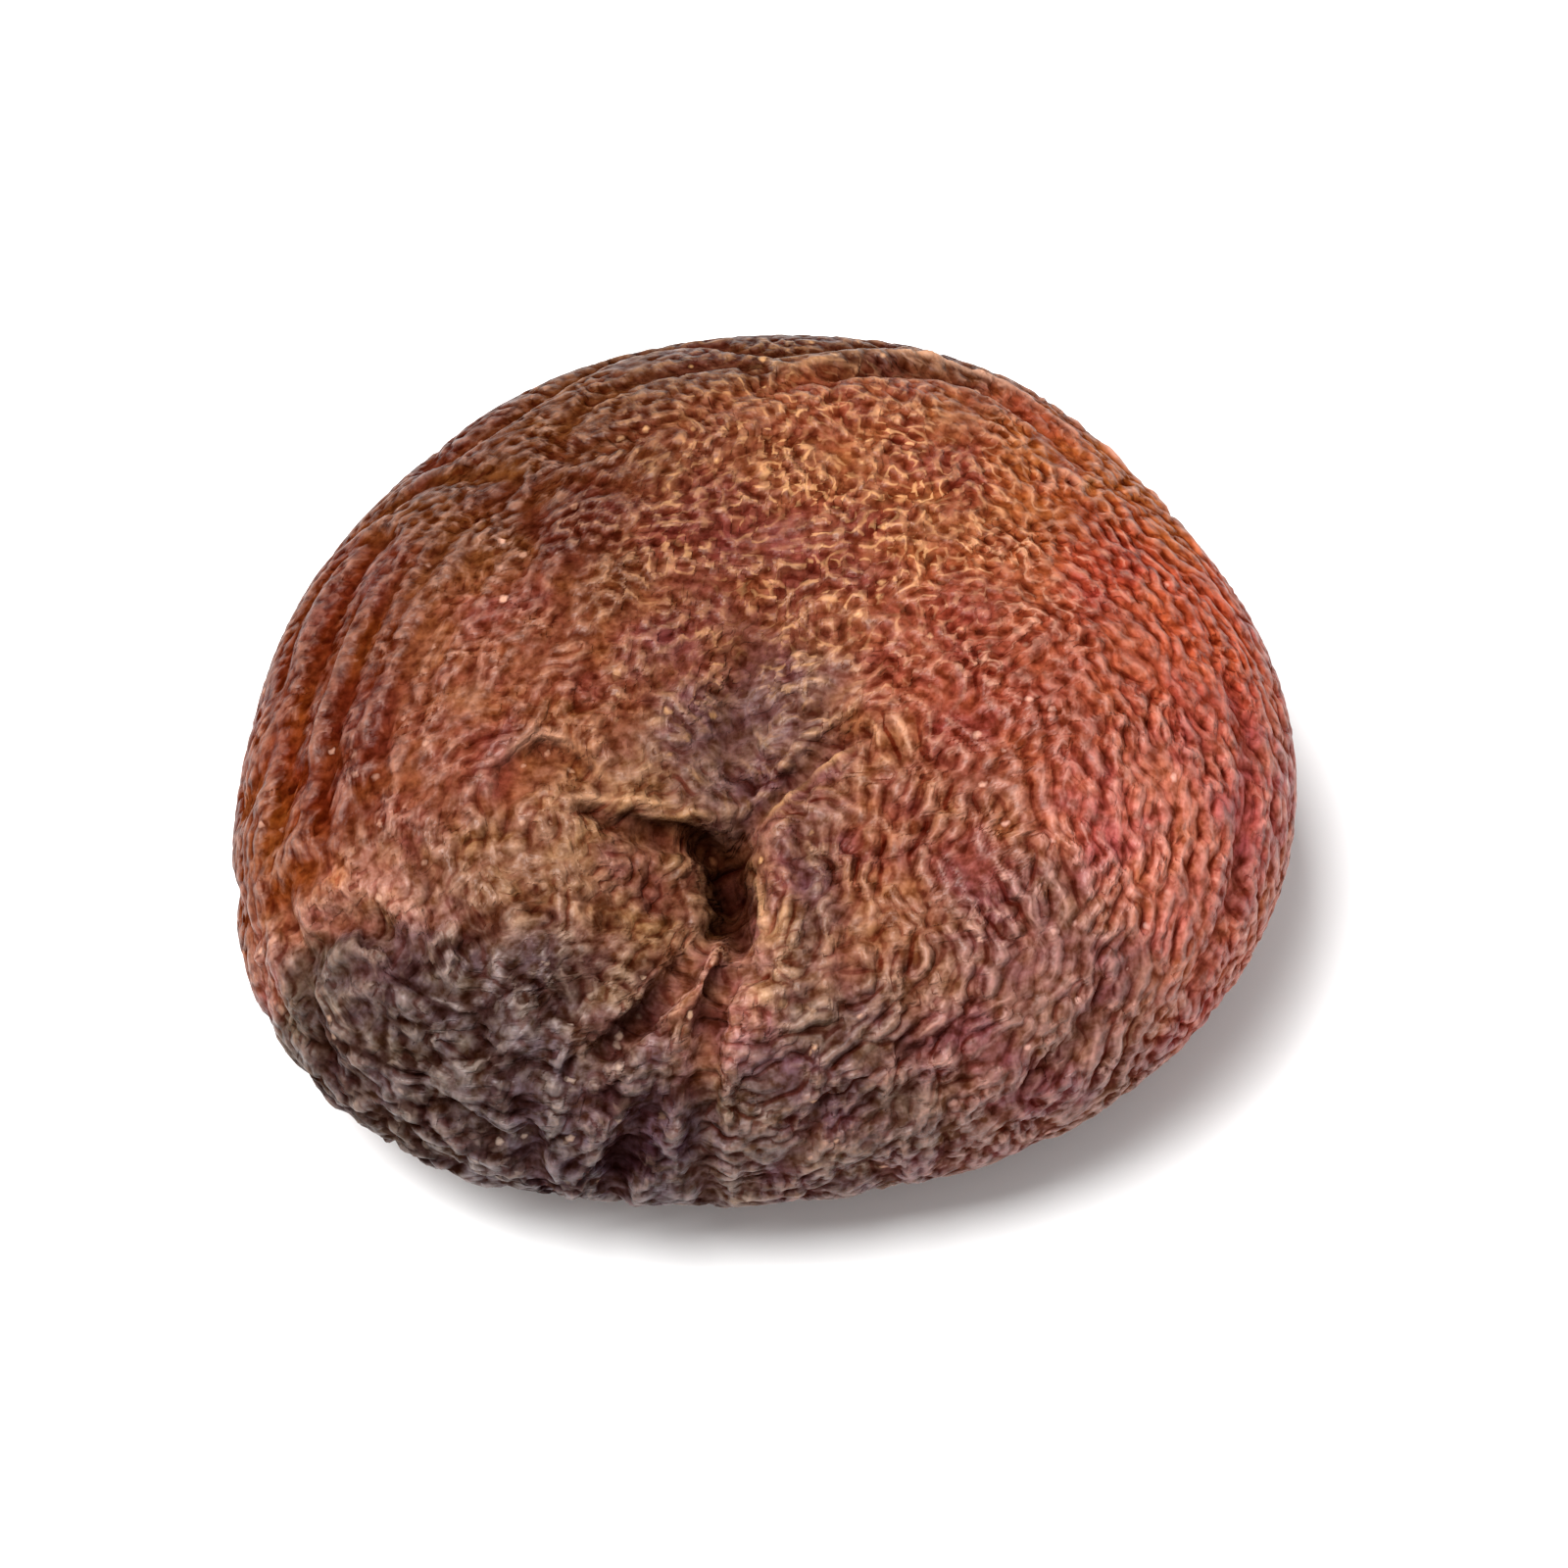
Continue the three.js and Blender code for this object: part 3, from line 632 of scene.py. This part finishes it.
creased = sunk_on_map(CREASES) * over
threads = sunk_on_map(THREADS) * over
threads = np.maximum(threads * (1 + 0.5 * cloud(1.6, 31)), 0)
print("creases, in mm:", creased.min().round(2), "to", creased.max().round(2))

# %% [markdown]
# ## Plates of slack skin
# In the dusky corner the skin has cracked into small plates, each tilted its own way. Waves only make rows,
# so here points strewn over the corner are the middles of the plates, and a crack runs where two middles are
# equally near.

# %% The plates
PLATES, PLATE_SEED = 210, 71
PLATE_SHAKE, PLATE_SHAKE_LENGTH = 0.22, 1.3
NO_CRACK = 9.0  # the gap, in mm, that stands for no crack near


def plates(count, seed):
    """How far each point lies from a crack between two plates, how high it stands and its plate's own number.

    A plate is all that lies nearest to its own centre. A point stands as high as its place from the centre
    times the plate's lean. The gap is the distance to the second nearest centre less that to the nearest.
    """
    draw = np.random.default_rng(seed)
    inside = np.flatnonzero(slack > 0.05)
    places = shaken(PLATE_SHAKE, PLATE_SHAKE_LENGTH, seed)[inside]
    centres = places[draw.choice(len(inside), count, replace=False)]
    squares = (places**2).sum(1)[:, None] + (centres**2).sum(1) - 2 * places @ centres.T
    two = np.sqrt(np.maximum(np.partition(squares, 1, axis=1)[:, :2], 0))
    nearest = squares.argmin(1)
    gap, stands, own = np.full(len(form), NO_CRACK), np.zeros(len(form)), np.zeros(len(form))
    gap[inside] = two[:, 1] - two[:, 0]
    stands[inside] = ((places - centres[nearest]) * draw.normal(size=(count, 3))[nearest]).sum(1)
    own[inside] = draw.uniform(-1, 1, count)[nearest]
    return gap, stands, own


gap, stands, own_shade = plates(PLATES, PLATE_SEED)
plated = ramp(slack, 0.15, 0.5)
print("share of the skin in plates:", plated.mean().round(3))

# %% [markdown]
# ## Three sizes of fine wrinkle
# Ridges a little under a millimetre apart run round the fruit, fine creases lie between them, and wider
# ones cross them. They are finer on the golden top, sharper where the skin is slack, and calmer in the pit
# and along the left rim, where the folds show.

# %% Waves of three lengths
ridges = fine_waves(
    wave_length=0.88 - 0.16 * finer + 0.14 * slack,
    stray=0.5 + 0.4 * slack + 0.6 * finer,
    reach=0.68,
    packets=11000,
    seed=11,
)
cross_cracks = fine_waves(
    wave_length=np.full(len(form), 1.7),
    stray=0.4 + 0.5 * slack,
    reach=1.0,
    packets=4000,
    seed=13,
    turned=np.pi / 2,
)
fine_creases = fine_waves(
    wave_length=0.52 + 0.1 * slack,
    stray=0.6 + 0.4 * slack + 0.6 * finer,
    reach=0.42,
    packets=18000,
    seed=12,
    along=1.2,
)
print("how fully the ridges add up:", ridges[1].mean().round(2))

# %% The wrinkled skin
PLATE_CRACK, PLATE_CRACK_WIDTH, PLATE_TILT = 0.11, 0.36, 0.07

calm = 1 - 0.3 * patch_of(x, y, (-2.2, -8.0), (1.6, 2.4)) - 0.65 * patch_of(x, y, (-13.8, 1.5), (3.4, 6.5))
ridge_depth = 0.115 + 0.04 * slack + 0.02 * front - 0.05 * finer
ridge_depth = ridge_depth - 0.03 * left_side * (1 - slack) - 0.08 * plated
ridge_depth = ridge_depth * (1 + 0.5 * cloud(3.2, 21)) * calm
crack_depth = (0.01 + 0.03 * slack + 0.05 * front) * calm
crease_depth = (0.07 + 0.03 * slack + 0.02 * front) * (1 + 0.4 * cloud(2.4, 22)) * calm**0.3
sharper = 1.2 + 1.4 * slack + 0.4 * front
sunk = ridge_depth * valleys(ridges, sharper) + crack_depth * valleys(cross_cracks, sharper)
sunk = sunk + crease_depth * valleys(fine_creases)
sunk = sunk + creased - threads
sunk = sunk + plated * (PLATE_CRACK * bell(gap / PLATE_CRACK_WIDTH) - PLATE_TILT * stands)
skin = form - form_normal * sunk[:, None]
skin[:, 2] = np.maximum(skin[:, 2], 0)
print("fine wrinkles, in mm deep:", sunk.max().round(3))

# %% [markdown]
# ## Crests and hollows
# The skin's colour depends on where a point lies: on a crest, down in a valley, or in a wide hollow. Valleys
# and hollows are painted darker, partly as shade, and crests paler, partly as sheen. That is measured against
# copies of the skin, smoothed a little and smoothed a lot.

# %% How far each point lies below its neighbours
NEAR_ROUNDS, WIDE_ROUNDS, USUAL_ROUNDS = 12, 110, 40
LEAST_USUAL = 0.004


def smoothed(values, rounds):
    """Each point's values moved to the mean of the middles of the quads round it, that many times over."""
    shares = np.bincount(quads.ravel(), minlength=len(values))
    for _ in range(rounds):
        middles = values[quads].mean(1)
        sums = [np.bincount(quads.ravel(), np.repeat(column, 4), len(values)) for column in middles.T]
        values = np.stack(sums, -1) / shares[:, None]
    return values


near_mean = smoothed(skin, NEAR_ROUNDS)
wide_mean = smoothed(near_mean, WIDE_ROUNDS)
below = ((near_mean - skin) * normals(skin, quads)).sum(1)
usual = np.sqrt(smoothed(below[:, None] ** 2, USUAL_ROUNDS)[:, 0] + LEAST_USUAL**2)
crest = -below / usual
sunken = ((wide_mean - near_mean) * normals(wide_mean, quads)).sum(1)
print("usual range of sunken, in mm:", np.percentile(sunken, [2, 98]).round(2))

# %% [markdown]
# ## The colour of the skin
# Sun and air colour one fruit in patches: golden where the skin was thin and dry, red and mauve where it was
# in the sun, and a dusky brown where the flesh was bruised or wet. Each point of the skin takes the weighted
# mean of the patches. The underside has one plain colour.

# %% Patches of colour
TONES = [
    # name, middle, size, colour in even light (0 to 255), except the marked painted shade and sheen
    ("golden", (3.4, 7.4), (4.6, 3.8), (110, 60, 35)),
    ("upper middle", (-1.4, 5.6), (3.6, 3.8), (95, 50, 35)),
    ("golden right", (9.5, 7.0), (3.4, 3.4), (125, 65, 30)),
    ("red", (12.5, 2.6), (3.6, 4.0), (140, 60, 35)),
    ("right middle", (8.4, 0.0), (4.0, 4.0), (110, 50, 35)),
    ("mauve", (13.2, -4.6), (3.2, 4.4), (140, 75, 60)),
    ("low right", (7.4, -10.6), (4.0, 3.2), (100, 65, 55)),
    ("behind the lip", (3.0, -6.2), (3.2, 3.6), (110, 65, 45)),
    ("front", (0.6, -14.4), (3.6, 2.6), (80, 60, 55)),
    ("dusky", (-10.0, -12.4), (4.6, 2.6), (70, 55, 55)),
    ("dusky front", (-6.4, -14.6), (3.6, 2.2), (60, 45, 50)),
    ("olive", (-5.6, -7.2), (3.2, 2.6), (105, 70, 50)),
    ("tongue", (-2.6, -11.0), (1.6, 2.0), (140, 100, 80)),
    ("grey", (-1.4, -2.6), (2.4, 2.4), (85, 60, 55)),
    ("brown", (-8.4, 7.6), (4.4, 4.4), (70, 35, 15)),
    ("left", (-9.4, 0.0), (3.4, 4.4), (100, 55, 35)),
    # the next two patches are the rim's orange-brown darkened with painted shade along the left edge
    ("left rim", (-14.0, 2.0), (1.8, 5.0), (75, 30, 10)),
    ("orange edge", (-16.2, -3.4), (1.2, 3.6), (85, 35, 10)),
    ("ear", (-14.7, -7.4), (2.0, 1.0), (125, 80, 65)),
    ("dusky left", (-15.2, -10.0), (1.9, 1.5), (65, 50, 45)),
    ("dusky edge", (-12.8, -13.0), (2.2, 1.3), (60, 45, 40)),
    ("dusky right", (-5.6, -12.6), (1.4, 1.4), (110, 80, 70)),
    ("back", (2.0, 13.8), (8.0, 2.0), (65, 35, 20)),
    # painted sheen: a paler mauve-grey along the right rim
    ("right rim", (16.6, -1.0), (1.1, 6.0), (140, 80, 70)),
    ("slope", (-3.4, -7.8), (1.3, 1.7), (80, 55, 25)),
    # the pit's patch is partly its dark stain and partly painted shade in the hollow
    ("pit", (-2.0, -7.3), (0.9, 1.4), (85, 55, 40)),
    ("dry spot", (9.0, 7.6), (0.55, 0.55), (170, 120, 60)),
    ("orange fleck", (-14.9, -6.9), (0.6, 0.5), (125, 65, 25)),
    ("upper fleck", (-16.4, -4.2), (0.6, 1.0), (100, 55, 20)),
    ("lower fleck", (-11.3, -7.8), (0.8, 0.7), (115, 80, 70)),
    ("grey lip", (1.0, -7.2), (1.0, 2.4), (75, 65, 60)),
]
UNDERSIDE = (104, 58, 44)
WANDER, WANDER_LENGTH = 0.5, 3.5
print("patches:", len(TONES))


# %% The colour of each point
def light_from(colour):
    """A screen colour as light: ((c / 255 + 0.055) / 1.055) to the power 2.4, or c / 255 / 12.92 if dark."""
    share = np.asarray(colour, float) / 255
    return np.where(share > 0.04045, ((share + 0.055) / 1.055) ** 2.4, share / 12.92)


def patched_colour():
    """The mean of the patches' colours, each weighted by its own patch to the power 1.8.

    A faint, wide patch is added to each, for the skin between and beyond them, and the edges wander a
    little. Under the rim the colour gives way to the underside's.
    """
    wander_x, wander_y = x + WANDER * cloud(WANDER_LENGTH, 41), y + WANDER * cloud(WANDER_LENGTH, 42)
    patches = np.stack([patch_of(wander_x, wander_y, middle, size) for _, middle, size, _ in TONES])
    weights = patches**1.8 + 0.01 * patches**0.25 + 1e-9
    colours = np.stack([light_from(colour) for *_, colour in TONES])
    colour = (weights[:, :, None] * colours[:, None, :]).sum(0) / weights.sum(0)[:, None]
    return colour + (light_from(UNDERSIDE) - colour) * (1 - over)[:, None]


tone = patched_colour() * (1 + 0.1 * plated * own_shade)[:, None]
print("mean colour of the skin:", tone.mean(0).round(3))

# %% [markdown]
# ## The fruit
# The points go into one mesh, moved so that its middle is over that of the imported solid. Each point also
# carries what the finish has to know: its colour, its regions, how deep in a crease it lies, and the phases
# of the three fine waves as cosine and sine, which blend between points where an angle can't.

# %% The mesh
MM = 0.001

middle = (skin.min(0) + skin.max(0)) / 2
skin[:, :2] += 0.5 / MM * np.array((cad_low + cad_high)[:2]) - middle[:2]

mesh = bpy.data.meshes.new("apricot_skin")
mesh.vertices.add(len(skin))
mesh.vertices.foreach_set("co", (skin * MM).astype(np.float32).ravel())
mesh.loops.add(quads.size)
mesh.loops.foreach_set("vertex_index", quads.astype(np.int32).ravel())
mesh.polygons.add(len(quads))
mesh.polygons.foreach_set("loop_start", np.arange(0, quads.size, 4, dtype=np.int32))
mesh.polygons.foreach_set("use_smooth", np.ones(len(quads), dtype=bool))
mesh.update(calc_edges=True)
print("triangles:", 2 * len(quads))

# %% What each point carries
FULL_RIDGE, FULL_CRACK, FULL_CREASE, FULL_THREAD = 0.18, 0.2, 0.1, 0.12  # in mm

point_values = {
    "crest": crest * (1 - 0.15 * left_side * (1 - slack)),
    # sunken: how far a point lies in a wide hollow, where the finish paints shade
    "sunken": sunken * (1 - 0.5 * slack) * (1 - 0.6 * by_furrows),
    # throat: the deep folds and creases of the pit and the furrows, painted darker as shade and stain
    "throat": over * np.maximum(ramp(upper_folds + creased, 0.7, 1.9), 0.8 * ramp(creased, 0.14, 0.4)),
    # rosy: where the ridge tops get a painted pink sheen, at the sides and the front
    "rosy_sheen": np.clip(right_side * (1 - web) + 0.4 * front + 0.7 * left_side * (1 - slack), 0, 1),
    "grainy": np.clip(slack + 0.5 * front, 0, 1),
    "slack": slack,
    "web": web,
    "cracked": plated * bell(gap / 0.4) * np.clip(1 + 0.6 * cloud(2.2, 33), 0, 1),
    "thread": np.clip(threads / FULL_THREAD, 0, 1) ** 2,
}
point_waves = {
    "ridges": (ridges, ridge_depth / FULL_RIDGE),
    "cross_cracks": (cross_cracks, crack_depth / FULL_CRACK),
    "fine_creases": (fine_creases, crease_depth / FULL_CREASE),
}


def carry(name, kind, field, values):
    """Stores one value, vector or colour for each point, under that name."""
    mesh.attributes.new(name, kind, "POINT").data.foreach_set(field, values.astype(np.float32).ravel())


for name, values in point_values.items():
    carry(name, "FLOAT", "value", values)
for name, ((phase, fullness), depth) in point_waves.items():
    wave = np.stack([np.cos(phase), np.sin(phase), fullness * np.clip(depth, 0, 1)], -1)
    carry(name, "FLOAT_VECTOR", "vector", wave)
carry("tone", "FLOAT_COLOR", "color", np.concatenate([tone, np.ones((len(tone), 1))], 1))
print("attributes:", len(mesh.attributes))

# %% The fruit's object
fruit = bpy.data.objects.new("apricot", mesh)
bpy.context.scene.collection.objects.link(fruit)
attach(fruit, "root")
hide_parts("dried_apricot")
print("piece:", fruit.name)

# %% [markdown]
# ## The finish of the skin
# Dried skin is a thin, leathery film over sugary flesh. Light goes a little way in and comes out warmer. The
# finish is a long chain of colours, each mixed into the one before, so it starts with short words for the
# nodes that it repeats.

# %% The material and words for its nodes
material = bpy.data.materials.new("dried_apricot_skin")
material.use_nodes = True
tree = material.node_tree
tree.nodes.clear()


def node(kind, inputs=None, **settings):
    """Adds a node of that kind, with settings on it and values or links on its inputs."""
    made = tree.nodes.new(kind)
    for name, value in settings.items():
        setattr(made, name, value)
    for name, value in (inputs or {}).items():
        if isinstance(value, bpy.types.NodeSocket):
            tree.links.new(value, made.inputs[name])
        else:
            made.inputs[name].default_value = value
    return made


def maths(what, a, b=0.0):
    """One sum of two numbers or sockets."""
    return node("ShaderNodeMath", {0: a, 1: b}, operation=what).outputs[0]


def times(a, b):
    """Two numbers or sockets multiplied."""
    return maths("MULTIPLY", a, b)


def spread(value, start, end, low=0.0, high=1.0):
    """A value that goes from start to end as a value that goes from low to high."""
    inputs = {"Value": value, "From Min": start, "From Max": end, "To Min": low, "To Max": high}
    return node("ShaderNodeMapRange", inputs).outputs[0]


def mixed(share, a, b, how="MIX"):
    """Two colours mixed by a share, in the way that how names. The colours' sockets are 6 and 7."""
    return node("ShaderNodeMix", {0: share, 6: a, 7: b}, data_type="RGBA", blend_type=how).outputs[2]


def tinted(colour, share, factors):
    """The colour mixed, by that share, with itself times three factors."""
    return mixed(share, colour, mixed(1.0, colour, (*factors, 1.0), "MULTIPLY"))


print("material:", material.name)

# %% What the finish reads
place = node("ShaderNodeTexCoord").outputs["Object"]
attribute = {name: node("ShaderNodeAttribute", attribute_name=name).outputs["Fac"] for name in point_values}
tone_colour = node("ShaderNodeAttribute", attribute_name="tone").outputs["Color"]
noise = {}
for name, scale, detail in (("blotch", 330.0, 3.0), ("mottle", 900.0, 2.0), ("grain", 2600.0, 2.0)):
    inputs = {"Vector": place, "Scale": scale, "Detail": detail, "Roughness": 0.55}
    noise[name] = node("ShaderNodeTexNoise", inputs).outputs["Fac"]
print("attributes read:", len(attribute) + 1)

# %% [markdown]
# ## Lines finer than the mesh
# The bottoms of the creases and the tops of the ridges are thinner than a cell of the mesh. The finish
# finds them from the phase of each wave, which it can follow between the points.


# %% Grooves and crests of the three waves
def wave_of(name):
    """How low a place lies in its wave, 0 on the crest and 1 in the valley, and how deep that wave is.

    The attribute holds the cosine and sine of the phase. Between two points of the mesh they shrink, so the
    cosine is divided by the length of the two together.
    """
    wave = node("ShaderNodeAttribute", attribute_name=name).outputs["Vector"]
    flat = node("ShaderNodeVectorMath", {0: wave, 1: (1, 1, 0)}, operation="MULTIPLY").outputs[0]
    length = node("ShaderNodeVectorMath", {0: flat}, operation="LENGTH").outputs["Value"]
    parts = node("ShaderNodeSeparateXYZ", {"Vector": wave}).outputs
    low = spread(maths("DIVIDE", parts["X"], maths("ADD", length, 0.0001)), 1.0, -1.0)
    return low, parts["Z"]


# grooves are the dark lines at the wave bottoms, painted shade and stain for creases finer than the mesh;
# crests are the pale lines on the tops
grooves, crests, relief_height = 0.0, 0.0, 0.0
for name, share, line in (("ridges", 1.0, 0.88), ("cross_cracks", 1.0, 0.92), ("fine_creases", 0.8, 0.78)):
    low, deep_share = wave_of(name)
    shared = times(deep_share, share)
    grooves = maths("MAXIMUM", grooves, times(spread(low, line, 0.975), shared))
    crests = maths("MAXIMUM", crests, times(spread(low, 0.1, 0.0), shared))
    rounded = maths("SQRT", maths("SUBTRACT", 1.0, low))
    relief_height = maths("ADD", relief_height, times(rounded, shared))
print("nodes so far:", len(tree.nodes))

# %% [markdown]
# ## The colours of the skin
# The tone of the patch comes first, with mauve blotches, brighter mottles and a fine tinted grain. Valleys,
# grooves, cracks and the throat of the pit are darker and redder, partly as the skin's own colour and partly
# as painted shade; wide hollows get painted shade alone.
# Ridges, threads and specks are pale: golden on the top, as the skin's own web; at the sides pink and in the
# dusky corner grey, as painted sheen.

# %% Blotches, mottles and grain
MAUVE = (0.80, 0.50, 0.78)
BRIGHT = (1.25, 1.32, 0.85)
GRAIN_TINT = {"X": 0.8, "Y": 1.05, "Z": 1.3}

blotched = spread(noise["blotch"], 0.42, 0.64, 0.0, 0.9)
blotched = times(blotched, spread(attribute["slack"], 0.2, 0.8, 1.0, 0.2))
base = tinted(tone_colour, blotched, MAUVE)
base = tinted(base, spread(noise["mottle"], 0.4, 0.7, 0.0, 0.7), BRIGHT)
grain = spread(noise["grain"], 0.34, 0.66, -1.0, 1.0)
grain = times(grain, spread(attribute["grainy"], 0.0, 1.0, 0.48, 0.55))
grains = {axis: maths("ADD", 1.0, times(grain, tint)) for axis, tint in GRAIN_TINT.items()}
base = mixed(1.0, base, node("ShaderNodeCombineXYZ", grains).outputs[0], "MULTIPLY")
print("nodes so far:", len(tree.nodes))

# %% Dark valleys and pale ridges, with painted shade and painted sheen
PALE_GOLDEN = (0.80, 0.42, 0.18, 1.0)
PAINTED_PINK_SHEEN = (0.82, 0.45, 0.37, 1.0)
PAINTED_GREY_SHEEN = (0.46, 0.35, 0.30, 1.0)
VALLEY_SHADE_AND_STAIN = (0.42, 0.21, 0.15)
GROOVE_SHADE_AND_STAIN = (0.42, 0.12, 0.06)
CRACK_SHADE_AND_STAIN = (0.32, 0.18, 0.15)

# pale ridge colour: the golden is the skin's own pale web; the pink at the sides and the grey in the dusky
# corner are painted sheen
pale_and_sheen = mixed(attribute["rosy_sheen"], PALE_GOLDEN, PAINTED_PINK_SHEEN)
pale_and_sheen = mixed(attribute["slack"], pale_and_sheen, PAINTED_GREY_SHEEN)
rough = spread(noise["grain"], 0.3, 0.7, -1.0, 1.0)
height = maths("ADD", attribute["crest"], times(rough, 0.5))
# painted shade and stain: points lying below their neighbours are darkened and reddened
colour = tinted(base, spread(height, -2.4, -0.2, 0.7, 0.0), VALLEY_SHADE_AND_STAIN)
# raised points are mixed towards it: painted sheen, and on the golden top the skin's pale web
colour = mixed(spread(height, 0.5, 2.2, 0.0, 0.12), colour, pale_and_sheen)
# painted shade and stain along the bottoms of the grooves
colour = tinted(colour, times(grooves, 0.9), GROOVE_SHADE_AND_STAIN)
# painted shade and stain in the cracks between the plates
crack_share = spread(attribute["cracked"], 0.3, 0.85, 0.0, 0.85)
colour = tinted(colour, crack_share, CRACK_SHADE_AND_STAIN)
# pale lines on the crests: the skin's own web on the top, painted sheen at the sides and in the dusky corner
web_and_sheen = spread(attribute["web"], 0.0, 1.0, 0.08, 0.8)
web_and_sheen = maths("MAXIMUM", web_and_sheen, times(attribute["rosy_sheen"], 0.22))
web_and_sheen = maths("MAXIMUM", web_and_sheen, times(attribute["slack"], 0.2))
crest_share = times(crests, web_and_sheen)
crest_share = times(crest_share, spread(noise["mottle"], 0.38, 0.62, 0.3, 1.0))
raised = maths("MAXIMUM", attribute["web"], spread(height, -0.8, 0.4))
colour = mixed(times(crest_share, raised), colour, pale_and_sheen)
print("nodes so far:", len(tree.nodes))

# %% Specks, threads, hollows and the throat
HOLLOW_SHADE = (0.30, 0.15, 0.10)
THROAT_SHADE_AND_STAIN = (0.46, 0.36, 0.34)

speck = node("ShaderNodeTexVoronoi", {"Vector": place, "Scale": 1300.0}).outputs
ragged = maths("ADD", speck["Distance"], times(rough, 0.12))
own_number = node("ShaderNodeSeparateColor", {"Color": speck["Color"]}).outputs[0]
picked = spread(own_number, 0.7, 0.95, 0.0, 0.45)
colour = mixed(times(spread(ragged, 0.06, 0.2, 1.0, 0.0), picked), colour, pale_and_sheen)
colour = mixed(times(attribute["thread"], 0.35), colour, pale_and_sheen)
# painted shade in the wide hollows
colour = tinted(colour, spread(attribute["sunken"], 0.08, 0.5, 0.0, 0.6), HOLLOW_SHADE)
# painted shade and stain in the throat of the pit and along the furrows
colour = tinted(colour, attribute["throat"], THROAT_SHADE_AND_STAIN)
print("nodes so far:", len(tree.nodes))

# %% [markdown]
# ## Relief, gloss and flesh
# A bump adds the round backs of the waves and the grain. Only the ridges have a soft sheen: with gloss in
# the creases, the white room would turn them grey. A little light spreads in the flesh.

# %% The shader
GLOSS = 0.25
BUMP_HEIGHT = 0.00014
FLESH_DEPTH = 0.0004

fine_height = maths("ADD", relief_height, times(noise["grain"], 0.5))
bump = node("ShaderNodeBump", {"Strength": 0.9, "Distance": BUMP_HEIGHT, "Height": fine_height})
glossy = spread(height, -0.4, 1.5, 0.0, GLOSS)
glossy = times(glossy, maths("SUBTRACT", 1.0, attribute["throat"]))
glossy = times(glossy, maths("SUBTRACT", 1.0, maths("MAXIMUM", grooves, crack_share)))
shader = node(
    "ShaderNodeBsdfPrincipled",
    {
        "Base Color": colour,
        "Roughness": spread(noise["mottle"], 0.3, 0.7, 0.38, 0.55),
        "Normal": bump.outputs["Normal"],
        "Subsurface Weight": 0.05,
        "Subsurface Radius": (1.0, 0.35, 0.15),
        "Subsurface Scale": FLESH_DEPTH,
        "Specular IOR Level": glossy,
    },
)
node("ShaderNodeOutputMaterial", {"Surface": shader.outputs["BSDF"]})
mesh.materials.append(material)
print("nodes in the skin:", len(tree.nodes))

# %% [markdown]
# ## The table and the light
# The fruit lies on a plain white table in an even white room, under one large soft light, almost overhead
# and a little to the left. The shadow is then soft and short, and falls to the right.

# %% The table
TABLE_SIZE = 3.0
TABLE_WHITE = (0.86, 0.86, 0.86, 1.0)

bpy.ops.mesh.primitive_plane_add(size=TABLE_SIZE)
table = bpy.context.object
table.name = "table"
white = bpy.data.materials.new("white_table")
white.use_nodes = True
white_shader = white.node_tree.nodes["Principled BSDF"]
white_shader.inputs["Base Color"].default_value = TABLE_WHITE
white_shader.inputs["Roughness"].default_value = 0.7
table.data.materials.append(white)
table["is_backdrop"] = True
print("table, in m:", TABLE_SIZE)

# %% The light
ROOM_LIGHT = 0.65
LIGHT_WAY = Vector((-0.35, -0.05, 1.0))
LIGHT_DISTANCE, LIGHT_SIZE, LIGHT_WATTS = 0.8, 0.5, 14.0

world = bpy.data.worlds.new("white_room")
bpy.context.scene.world = world
world.use_nodes = True
room = world.node_tree.nodes["Background"]
room.inputs["Color"].default_value = (1.0, 1.0, 1.0, 1.0)
room.inputs["Strength"].default_value = ROOM_LIGHT
lamp = bpy.data.lights.new("key", "AREA")
lamp.size = LIGHT_SIZE
lamp.energy = LIGHT_WATTS
key = bpy.data.objects.new("key", lamp)
key.location = LIGHT_WAY.normalized() * LIGHT_DISTANCE
key.rotation_euler = LIGHT_WAY.to_track_quat("Z", "Y").to_euler()
bpy.context.scene.collection.objects.link(key)
bpy.context.scene.view_settings.view_transform = "Standard"
print("light:", key.name)

# %% [markdown]
# ## The last cell measures the dressed fruit and prints its size.
# The last cell writes the imported box and the dressed one, and hands the scene over.

# %% Sizes and finish
low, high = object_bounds()
print("dressed fruit, in mm:", [round(1000 * s, 2) for s in high - low])
